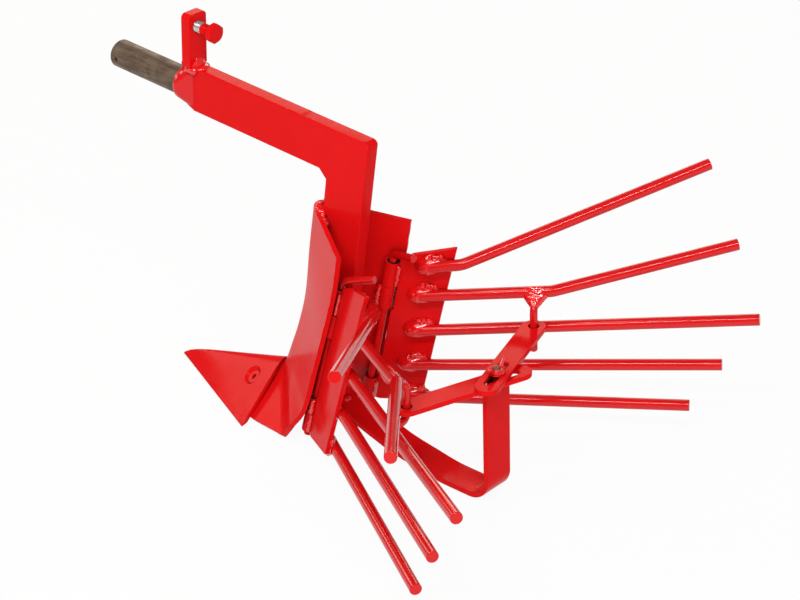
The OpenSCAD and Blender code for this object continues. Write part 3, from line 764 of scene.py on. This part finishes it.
# Share with its bolts and nuts. The ridge runs as (y, z) from the rear edge to the tip.
share = {"thick": 4, "halfWidth": 68.4, "tipWidth": 1.6, "tipY": -275, "tipZ": -361.56, "cornerY": -116.3,
         "cornerZ": -353, "columns": 26, "rows": 48, "edge": 1.2, "roundness": 0.14, "soften": 0.45,
         "seated": 2.2, "countersink": [(4.3, -20), (4.3, -3.6), (8.6, 0.2), (12.1, 4)],
         "ridge": [(-120, -300), (-150, -311), (-180, -321.8), (-210, -332.4), (-237.5, -342.4),
                   (-255, -349.6), (-266, -355.2), (-275, -361.56)]}
shareBolt = {"at": (20.4, -145.9, -326.9), "tiltDeg": (16.5, 38.4), "diameter": 8, "head": 15.7,
             "socket": 5.5, "nut": 13,
             "nutRows": [(-19.5, 6.7), (-19.3, 7.2), (-18.9, 7.5), (-13.6, 7.5), (-13.2, 7.2), (-13.0, 6.6)]}
boltFrame = (beamFrame @ move(*shareBolt["at"]) @ rotate(shareBolt["tiltDeg"][1], "Y")
             @ rotate(shareBolt["tiltDeg"][0], "X"))


def ridgeDrop(r, s):
    return (sqrt(s * s + r * r) - r) / (sqrt(1 + r * r) - r)


def buildShare(p):
    outer, inner = [], []
    count = len(p["ridge"]) - 1
    for i in range(p["rows"] + 1):
        f = count * (1 - (1 - i / p["rows"]) ** 1.25)
        k = min(int(f), count - 1)
        y, z = mix(p["ridge"][k], p["ridge"][k + 1], f - k)
        reach = (y - p["tipY"]) / (p["cornerY"] - p["tipY"])
        w = p["tipWidth"] + (p["halfWidth"] - p["tipWidth"]) * reach
        ye, ze = y, p["tipZ"] + (p["cornerZ"] - p["tipZ"]) * reach - max(0, f - count + 1) * 0.6
        if f < 1:  # the rear edge bends back to the corners
            w, ye, ze = mix((p["halfWidth"], p["cornerY"], p["cornerZ"]), (w, y, ze), f)
        depth = min(p["thick"] * 1.34, 2 + 1.4 * (count - f)) + p["seated"] * max(0, 1 - f / 1.5)
        top, under = [], []
        for j in range(-p["columns"], p["columns"] + 1):
            s = j / p["columns"]
            point = Vector((w * s, y + (ye - y) * abs(s), z + (ze - z) * ridgeDrop(p["roundness"], s)))
            fade = min(1, (1 - abs(s)) * 8) * min(1, count - f)
            top.append(point)
            under.append(point - Vector((0, 0, p["edge"] + (depth - p["edge"]) * fade)))
        outer.append(top)
        inner.append(under)
    blade = addSheet("shareBlade", outer, inner, p["soften"], beamFrame, "share")
    for _, mirror in sides:
        cutWith(blade, turned(p["countersink"], closed=False), mirror @ boltFrame)


# A pair of bolts or nuts, one for each side.
def addPair(name, shape, material, node, slotName="red_paint"):
    whole = ([], [])
    for _, mirror in sides:
        joinShape(whole, shape, mirror @ boltFrame)
    addPiece(name, whole, unmoved, material, (node,), slotName=slotName, sharpDeg=35)


def buildShareBolts(p):
    around = 48
    r, head, socket = p["diameter"] / 2, p["head"] / 2, p["socket"] / 2
    verts = stackRings([(r, -22), (r, -3.8), (head - 0.15, -0.15), (head, 0.0), (head - 0.25, 0.2),
                        (r + 0.4, 0.2)], around)
    verts += stackRings([(socket + 0.2, 0.2), (socket, -0.1), (socket, -2.3)], around, hexRing)
    addPair("shareBolts", ringShape(verts, around), redPaint, "share_bolts")
    verts = [pointAt(min(limit, hexReach(p["nut"] / 2, g)), g, z) for z, limit in p["nutRows"]
             for g in ringAngles(around)]
    addPair("shareNuts", ringShape(verts, around), zincPlate, "share_nuts", "zinc")


buildShare(share)
buildShareBolts(shareBolt)
print("share ready")

# Skid: a strap that leaves the mouldboards' flange, sags to the floor and turns up into the leg.
skid = {"wide": 35, "thick": 6, "bend": 23, "legY": 167.4, "legTop": -203.7, "soften": 0.9,
        "tail": (-76, 6), "sag": [(0, 30, -326), (0, 50, -329.8), (0, 80, -332.3)], "lift": (112, 0.6),
        "legSteps": (-300, -285, -265, -245, -225)}


def skidRoute(p):
    tilt = radians(stance["tiltDeg"])
    rise = tan(tilt)
    foot = share["cornerZ"] - share["edge"] + p["thick"] / 2 / cos(tilt)

    def legY(z):
        return p["legY"] - (z - p["legTop"]) * rise

    def floorZ(y):
        return foot + (y - share["cornerY"]) * rise

    def tailZ(y):  # along the underside of the flange
        return -310.2 - 0.2236 * (y + 28) - p["thick"] / 2

    bendZ = (floorZ(legY(0) - p["bend"]) + p["bend"] / cos(tilt)) / (1 + rise * rise)
    bendY = legY(bendZ) - p["bend"]
    liftY, lift = p["lift"]
    line = [(0, y, tailZ(y)) for y in p["tail"]] + p["sag"]
    line += [(0, liftY, floorZ(liftY) + lift), (0, bendY - 8, floorZ(bendY - 8))]
    route = [Vector(splineAt(line, k / 60)) for k in range(61)]
    for y, z in arcPoints((bendY, bendZ), p["bend"], stance["tiltDeg"] - 90, stance["tiltDeg"], 30):
        route.append(Vector((0, y, z)))
    return route + [Vector((0, legY(z), z)) for z in p["legSteps"] + (p["legTop"],)]


def strapSection(wide, thick, soften):
    x, y = wide / 2 - soften, thick / 2 - soften
    return [point for cx, cy, start in ((x, y, 0), (-x, y, 90), (-x, -y, 180), (x, -y, 270))
            for point in arcPoints((cx, cy), soften, start, start + 90, 3)]


def buildSkid(p):
    route = skidRoute(p)
    last = len(route) - 1
    verts = []
    for i, at in enumerate(route):
        tangent = (route[min(i + 1, last)] - route[max(i - 1, 0)]).normalized()
        normal = Vector((0, -tangent.z, tangent.y))
        insets = {0: softRim(p["soften"]), last: softRim(p["soften"])[::-1]}.get(i, [(0, 0)])
        for along, inset in insets:
            centre = at + tangent * (along if i == 0 else -along)
            section = strapSection(p["wide"] - 2 * inset, p["thick"] - 2 * inset,
                                   max(0.05, p["soften"] - inset))
            verts += [centre + Vector((x, 0, 0)) + normal * y for x, y in section]
    addPiece("skidBow", ringShape(verts, 16), beamFrame, redPaint, ("skid",), sharpDeg=34)


buildSkid(skid)
print("skid ready")

# Hinge tubes with countersunk mouths, plate, hinge pin and five rods.
tubes = {"outside": 15, "bore": 9.6, "long": 31, "short": 29, "gap": 0.5, "low": -187, "soften": 0.5,
         "mouth": 1.5, "deep": 2.2}
plate = {"thick": 5, "soften": 0.5, "corners": [0, 8, 1.5, 2.5, 4, 0, 0, 1, 1, 0],
         "outline": [(7.55, 6), (20.4, 15.6), (61.3, 37.4), (57, -171.5), (14, -185.5), (7.55, -185.5),
                     (7.55, -62.2), (9.7, -62.2), (9.7, -30.7), (7.55, -30.7)]}
pin = {"diameter": 8, "low": -193, "bareTop": 0.4, "bendZ": 8.6, "end": (23, 22.2, 27), "bend": 9, "rim": 0.7}
rod = {"diameter": 12, "bend": 22, "rim": 0.9, "lines": [
    [(30, 8.5, 6), (70.3, 8.5, 24.6), (282.6, -118.3, 131.5)],
    [(28, 8.5, -32), (163.6, 1, 15.8), (330.6, -71.3, 78.4)],
    [(31, 8.5, -78.2), (369.8, -13.8, 38)],
    [(31, 8.5, -125.5), (347.8, -13.6, -30.6)],
    [(36, 8.5, -168.3), (328.4, -10, -91.5)]]}


def tubeShape(p, z, height):
    r, b, s, m, d = p["outside"] / 2, p["bore"] / 2, p["soften"], p["mouth"], p["deep"]
    top = z + height
    return turned([(b + m, z), (r - s, z), (r - s * 0.3, z + s * 0.3), (r, z + s), (r, top - s),
                   (r - s * 0.3, top - s * 0.3), (r - s, top), (b + m, top), (b + m * 0.8, top - 0.4),
                   (b, top - d), (b, z + d), (b + m * 0.8, z + 0.4)])


def buildWing(sideName, place):
    cap, wing = sideName.capitalize(), "wing_" + sideName
    back = place.inverted()

    def tubeFace(c):  # bare inside
        return 1 if (back @ c).xy.length < tubes["bore"] / 2 + 0.9 else 0

    def pinFace(c):  # bare inside the top tube, thinly painted below
        z = (back @ c).z
        return 0 if z > pin["bareTop"] else 1 if z > -tubes["long"] else 2

    middle = tubeShape(tubes, -tubes["long"] - tubes["gap"] - tubes["short"], tubes["short"])
    addPiece("knuckle" + cap, middle, place, redPaint, ("knuckle_" + sideName,), spare=(studSteel,),
             faceSlots=tubeFace)
    pair = tubeShape(tubes, -tubes["long"], tubes["long"])
    joinShape(pair, tubeShape(tubes, tubes["low"], tubes["short"]))
    addPiece("wingKnuckles" + cap, pair, place, redPaint, ("wing_knuckles_" + sideName,), body=wing,
             spare=(studSteel,), faceSlots=tubeFace)
    addPlate("wingPlate" + cap, softCorners(plate["outline"], plate["corners"], 4), [], plate,
             place @ rotate(90, "X"), ("wing_plate_" + sideName,), body=wing)
    corners = [(0, 0, z) for z in (pin["low"], -tubes["long"], pin["bareTop"], pin["bendZ"])] + [pin["end"]]
    pinBar = roundBar(bentRoute(corners, [0, 0, pin["bend"]]), pin["diameter"], pin["rim"], 32)
    addPiece("hingePin" + cap, pinBar, place, barPaint, ("hinge_pin_" + sideName,), body="pin_" + sideName,
             spare=(studSteel, redPaint), faceSlots=pinFace)
    for index, line in enumerate(rod["lines"], 1):
        bar = roundBar(bentRoute(line, [rod["bend"]]), rod["diameter"], rod["rim"])
        node = "rod_%s_%d" % (sideName, index)
        addPiece("rod%s%d" % (cap, index), bar, place, barPaint, (node,), body=wing)


for sideName, mirror in sides:
    buildWing(sideName, mirror @ hingeFrame)
print("wings ready")

# Strap pins, straps, stud, washer and wing nut.
strapPin = {"diameter": 8, "pivot": (95.6, -32, 0), "meet": (108.374, -39.962, 41.048), "rise": 26.948,
            "drop": 8, "hooks": {"left": (14, 2, 0), "right": (-11, 9, 0)}, "hookBend": 8, "topBend": 6,
            "rim": 0.7, "rodRun": (0.4953, 0.8597, 0.1247)}
strap = {"wide": 25, "thick": 5, "tip": 139, "slotFrom": 78, "slotLong": 48, "slotWide": 10, "hole": 10.7,
         "heights": {"left": 0.1, "right": 5.4}, "soften": 0.7}


def buildStrapPin(p, sideName, place):
    pivot, meet = Vector(p["pivot"]), Vector(p["meet"])
    top = pivot + Vector((0, 0, p["rise"]))
    end = top + (meet - top).normalized() * ((meet - top).length - rod["diameter"] / 2 - 0.02)
    hook = pivot - Vector((0, 0, p["drop"]))
    route = bentRoute([hook + Vector(p["hooks"][sideName]), hook, top, end], [p["hookBend"], p["topBend"]])
    addPiece("strapPin" + sideName.capitalize(), roundBar(route, p["diameter"], p["rim"], 32), place,
             barPaint, ("strap_pin_" + sideName,), body="wing_" + sideName)


def buildStrap(p, sideName, place):
    r, h = p["wide"] / 2, p["slotWide"] / 2
    near, end = p["slotFrom"] + h, p["slotFrom"] + p["slotLong"] - h
    outline = arcPoints((0, 0), r, 90, 270, 28) + arcPoints((p["tip"] - r, 0), r, -90, 90, 28)
    slot = arcPoints((near, 0), h, 90, 270, 20) + arcPoints((end, 0), h, -90, 90, 20)
    x, y, _ = strapPin["pivot"]
    place = place @ move(x, y, p["heights"][sideName] + p["thick"] / 2)
    addPlate("strap" + sideName.capitalize(), outline, [holeLoop(p["hole"] / 2), slot], p,
             place @ rotate(degrees(atan2(-y, -x)), "Z"), ("strap_" + sideName,), body="link_" + sideName)


# The ears of the wing nut are swept ovals that grow out of the hub and end in a rounded tip.
# Rows: way out, height, half width, half thickness.
clamp = {"diameter": 8, "pitch": 1.25, "depth": 0.55, "collar": 20, "washer": 17, "washerZ": 10.5,
         "washerThick": 1.2, "hubZ": 11.75, "hub": 4.2, "turnDeg": 188,
         "ear": [(4.6, 2.2, 2.2, 1.9), (7.0, 2.9, 2.7, 1.8), (9.3, 4.4, 3.2, 1.7),
                 (11.4, 6.4, 3.5, 1.65), (13.2, 8.4, 3.3, 1.6), (14.3, 9.9, 2.5, 1.4),
                 (14.8, 10.7, 1.4, 1.0), (15.0, 11.0, 0.4, 0.4)]}


def buildStud(p):
    around, collar, hubTop = 48, p["collar"] / 2, p["hubZ"] + p["hub"]
    top = hubTop + 0.8
    verts = stackRings([(collar - 0.4, -2.9), (collar, -2.5), (collar, -0.5), (collar - 0.4, 0.0),
                        (4.1, 0.0)], around)
    verts += threadRings(p, 0.1, top - 1.0, around)
    verts += stackRings([(3.7, top - 0.5), (3.2, top - 0.1), (2.6, top)], around)
    back = clampFrame.inverted()
    addPiece("clampStud", ringShape(verts, around), clampFrame, redPaint, ("clamp_stud",),
             slotName="bare_steel", sharpDeg=30, spare=(studSteel,),
             faceSlots=lambda c: 1 if (back @ c).z > hubTop else 0)


def buildWasher(p):
    r, b, z = p["washer"] / 2, p["diameter"] / 2 + 0.25, p["washerZ"]
    top = z + p["washerThick"]
    profile = [(b, z + 0.2), (b + 0.2, z), (r - 0.3, z), (r, z + 0.3), (r, top - 0.35), (r - 0.3, top),
               (b + 0.2, top), (b, top - 0.2)]
    addPiece("clampWasher", turned(profile), clampFrame, redPaint, ("clamp_washer",), body="washer")


def buildWingNut(p):
    z, h, around, steps = p["hubZ"], p["hub"], 24, 42
    whole = turned([(4.1, z + 0.5), (4.6, z), (7.3, z), (7.75, z + 0.5), (7.3, z + h * 0.5),
                    (6.6, z + h - 0.6), (6.0, z + h - 0.1), (5.4, z + h), (4.6, z + h),
                    (4.1, z + h - 0.5)], 48)
    ear = []
    for k in range(steps + 1):
        x, rise, w, t = splineAt(p["ear"], k / steps)
        x2, rise2, _, _ = splineAt(p["ear"], min(1, k / steps + 0.01))
        x1, rise1, _, _ = splineAt(p["ear"], max(0, k / steps - 0.01))
        along = Vector((x2 - x1, 0, rise2 - rise1)).normalized()
        across = Vector((-along.z, 0, along.x))
        ear += [Vector((x, 0, z + rise)) + across * w * v.x + Vector((0, t * v.y, 0))
                for v in circleRing(1, 0, around)]
    for halfTurn in (0, 180):
        joinShape(whole, ringShape(ear, around), rotate(halfTurn, "Z"))
    addPiece("wingNut", whole, clampFrame @ rotate(p["turnDeg"], "Z"), weldPaint, ("wing_nut",), body="nut",
             sharpDeg=50, weighted=False)


for sideName, mirror in sides:
    buildStrapPin(strapPin, sideName, mirror @ clampFrame)
    buildStrap(strap, sideName, mirror @ clampFrame)
buildStud(clamp)
buildWasher(clamp)
buildWingNut(clamp)
print("straps and clamp ready")

# Welds. Each bead: its line of points, radius, seed, and its own lump and ripple where they differ.
lugRear = lug["front"] + lug["thick"]
frameWeld = {
    "mounds": [((0, lugRear - 1.0, 1.0), 32, 3.0,
                {"long": 9.6, "wide": 11.5, "high": 5.6, "lump": 1.0, "crest": 0, "sunk": 1}),
               ((0, lugRear + 4.5, -0.6), 90, 9.0,
                {"long": 8.6, "wide": 8.6, "high": 3.4, "lump": 0.5, "crest": 0, "sunk": 1})],
    "lugFront": ([(-11, lug["front"] - 0.4, 0.8), (0, lug["front"] - 1, 1.2), (11, lug["front"] - 0.4, 0.8)],
                 3.4, 2),
    "lugSide": [(8.1, lug["front"] + 1.5, -3), (8.2, lug["front"] + 6, -3.4), (8.1, lugRear + 1.5, -3),
                (6.5, lugRear + 6, -1.5)],
    "breastTop": [(4.5, -70, -92), (9, -63.5, -95), (10, -56.5, -102), (9.6, -50.5, -110)],
    "postSide": [(8.6, -66, -294.5), (9.2, -50, -304.6), (9.2, -34, -308.2)],
    "postRear": ([(-6, -29.2, -310.4), (0, -28.2, -310.8), (6, -29.2, -310.4)], 3.4, 12),
    "knuckle": ([(-7.6, 3.2, -32.5), (-8.6, 3.6, -40), (-8.6, 3.4, -52), (-7.8, 3.2, -59.5)], 2.6, 14),
    "rightTube": ([(7.2, -6.2, -32), (7.7, -6.8, -42), (7.7, -6.8, -56), (7.5, -6.8, -67)], 2.7, 17),
    "leftEdge": ([(-4.8, -6.6, -116), (-4.3, -5.95, -128), (-4.3, -5.95, -145), (-4.3, -5.95, -157)],
                 3.2, 18)}


def mirrored(points, x):
    return [(x * px, py, pz) for px, py, pz in points]


def buildFrameWelds(p):
    welds = ([], [])

    def bead(line, radius, seed, place=beamFrame, **shape):
        joinShape(welds, beadShape(line, radius, seed, **shape), place)

    for at, tiltDeg, seed, mound in p["mounds"]:
        joinShape(welds, moundShape(mound, seed), beamFrame @ move(*at) @ rotate(tiltDeg, "X"))
    bead(*p["lugFront"], lump=0.3)
    for x in (-1, 1):
        bead(mirrored(p["lugSide"], x), 4.4, 3 + x, lump=0.16, ripple=0.05)
        bead(mirrored(p["breastTop"], x), 4.3, 6 + x, lump=0.5, ripple=0.25)
        bead(mirrored(p["postSide"], x), 3.2, 9 + x)
    bead(*p["postRear"])
    for _, mirror in sides:
        bead(*p["knuckle"], mirror @ hingeFrame, lump=0.4)
    bead(*p["rightTube"], mirrorX @ hingeFrame, lump=0.3)
    bead(*p["leftEdge"], hingeFrame, lump=0.05, ripple=0.02)
    addPiece("weldsOnFrame", welds, unmoved, weldPaint, sharpDeg=80, weighted=False)


# Two beads and a mound at each rod's root, beads along the tubes, the flared weld of the strap pin.
wingWeld = {"bead": 3.7, "beadLines": ((5.4, 27), (9.0, 26)), "flareUp": 2.5, "flareReach": 0.8,
            "mound": {"long": 19, "wide": 10.5, "high": 12.6, "crest": -0.3, "lump": 1.1, "sunk": 0.8},
            "flare": {"wide": 19, "thick": 7.1, "small": 4.3},
            "plateEdge": [(6.2, -4.4, -141), (6.4, -4.6, -150), (6.6, -4.2, -161)],
            "tubeRuns": ((-2, -29, 50), (-160, -184, 51))}


def buildWingWelds(p, sideName, mirror):
    welds = ([], [])
    place = mirror @ hingeFrame

    def bead(line, radius, seed, **shape):
        joinShape(welds, beadShape(line, radius, seed, **shape), place)

    for index, corners in enumerate(rod["lines"]):
        start, toward = Vector(corners[0]), Vector(corners[1])
        along = (toward - start).normalized()
        rise = Vector((-along.z, 0, along.x))
        begin = start + Vector((0, -4.4, 0))
        for k, (height, reach) in enumerate(p["beadLines"]):
            line = [begin + rise * (height + up) + along * way
                    for up, way in ((-1, 4 + 3 * k), (0.6, 11), (0, 18), (-1.2, reach))]
            bead(line, p["bead"] - 0.4 * k, 20 + index + 9 * k, lump=0.75, ripple=0.2, pitch=4.4)
        across = along.cross(Vector((0, 1, 0)))
        middle = Vector((start.x, 2.2, start.z)) + along * 11 - across * 0.5
        axes = Matrix((along, (0, 1, 0), -across)).transposed().to_4x4()
        joinShape(welds, moundShape(p["mound"], 40.0 + index), place @ move(*middle) @ axes)
    bead(p["plateEdge"], 3.1, 57, lump=0.3)
    for low, high, seed in p["tubeRuns"]:
        third = (high - low) / 3
        line = [(7.2, 3.8, low), (7.8, 4.2, low + third), (7.8, 4.2, high - third), (7.2, 3.8, high)]
        bead(line, 2.5, seed, lump=0.4)
        bead([(7.4, -3.6, low), (7.9, -3.9, (low + high) / 2), (7.4, -3.6, high)], 2.2, seed + 5, lump=0.3)
    meet, under = Vector(strapPin["meet"]), Vector(strapPin["pivot"]) + Vector((0, 0, strapPin["rise"]))
    flare = funnelShape(meet + (meet - under).normalized() * p["flareUp"],
                        meet + (under - meet) * p["flareReach"], Vector(strapPin["rodRun"]), p["flare"], 60.0)
    joinShape(welds, flare, mirror @ clampFrame)
    addPiece("weldsOnWing" + sideName.capitalize(), welds, unmoved, weldPaint, body="wing_" + sideName,
             sharpDeg=80, weighted=False)


buildFrameWelds(frameWeld)
for sideName, mirror in sides:
    buildWingWelds(wingWeld, sideName, mirror)
print("welds ready")

# Floor, light and camera. The floor shows its own pale colour to the camera, to mirrors and to glass,
# and keeps a part of its real shading, which holds the shadow.
studio = {"floorHalf": 40, "floorColour": 0.80, "floorGlow": 0.94, "skyLight": 0.27, "aim": (0, 0.02, 0.18)}


def buildFloor(p):
    work = bmesh.new()
    bmesh.ops.create_grid(work, x_segments=24, y_segments=24, size=p["floorHalf"])
    mesh = bpy.data.meshes.new("floor")
    work.to_mesh(mesh)
    work.free()
    floor = addObject("floor", mesh)
    floor.location.z = -0.0004
    material = bpy.data.materials.new("paleFloor")
    material.use_nodes = True
    tree = material.node_tree
    shader = tree.nodes["Principled BSDF"]
    shader.inputs["Base Color"].default_value = (*[p["floorColour"]] * 3, 1)
    shader.inputs["Roughness"].default_value = 0.9
    shader.inputs["Specular IOR Level"].default_value = 0.0
    glow = addNode(tree, "Emission", Color=(1, 1, 1, 1), Strength=1.0)
    path = addNode(tree, "LightPath").outputs
    seen = mathNode(tree, "ADD", path["Is Camera Ray"], path["Is Glossy Ray"], True)
    seen = mathNode(tree, "ADD", seen, path["Is Transmission Ray"], True)
    blend = addNode(tree, "MixShader")
    for index, value in enumerate((times(tree, seen, p["floorGlow"]), shader.outputs[0], glow.outputs[0])):
        feed(tree, value, blend.inputs[index])
    feed(tree, blend.outputs[0], tree.nodes["Material Output"].inputs["Surface"])
    mesh.materials.append(material)


def buildWorld(p):
    world = bpy.data.worlds.new("studio")
    bpy.context.scene.world = world
    world.use_nodes = True
    sky = world.node_tree.nodes["Background"].inputs
    sky["Color"].default_value = (1, 1, 1, 1)
    sky["Strength"].default_value = p["skyLight"]


# The low softbox only fills: it doesn't show as a second line on the bars.
lamps = {
    "nearStrip": {"at": (1.33, 1.00, 2.12), "size": (2.0, 0.2), "watts": 37, "warmth": 0.0},
    "lowSoftbox": {"at": (1.5, 2.0, 0.8), "size": (1.4, 0.8), "watts": 21, "warmth": 0.0, "mirrored": False},
    "topSoftbox": {"at": (0.9, -0.25, 2.1), "size": (0.4, 1.0), "watts": 9, "warmth": 0.03},
    "frontSoftbox": {"at": (0.52, -2.42, 1.20), "size": (1.5, 0.8), "watts": 15, "warmth": 0.2},
    "backSoftbox": {"at": (-1.75, -1.6, 1.25), "size": (1.7, 0.9), "watts": 16, "warmth": 0.3},
}


def buildLamps(aim):
    for name, lamp in lamps.items():
        light = bpy.data.lights.new(name, "AREA")
        light.shape = "RECTANGLE"
        light.size, light.size_y = lamp["size"]
        light.energy = lamp["watts"]
        light.color = (1, 1 - lamp["warmth"] * 0.4, 1 - lamp["warmth"])
        holder = addObject(name, light)
        holder.visible_glossy = lamp.get("mirrored", True)
        holder.location = lamp["at"]
        holder.rotation_euler = (aim - Vector(lamp["at"])).to_track_quat("-Z", "Y").to_euler()


# The photograph's viewing angle.
cameraFit = {"at": (1.52376, 1.47543, 1.30524), "right": (-0.66932, 0.74244, -0.02808),
             "up": (-0.36979, -0.30012, 0.87931), "back": (0.64441, 0.59893, 0.47542), "lens": 107.06}


def buildCamera(p):
    data = bpy.data.cameras.new("camera")
    data.lens = p["lens"]
    data.sensor_width = 36
    data.clip_start, data.clip_end = 0.05, 150
    holder = addObject("camera", data)
    axes = Matrix((p["right"], p["up"], p["back"])).transposed()
    holder.matrix_world = Matrix.Translation(p["at"]) @ axes.to_4x4()
    bpy.context.scene.camera = holder


buildFloor(studio)
buildWorld(studio)
buildLamps(Vector(studio["aim"]))
buildCamera(cameraFit)
bpy.context.scene.view_settings.view_transform = "Standard"
print("floor, light and camera ready")
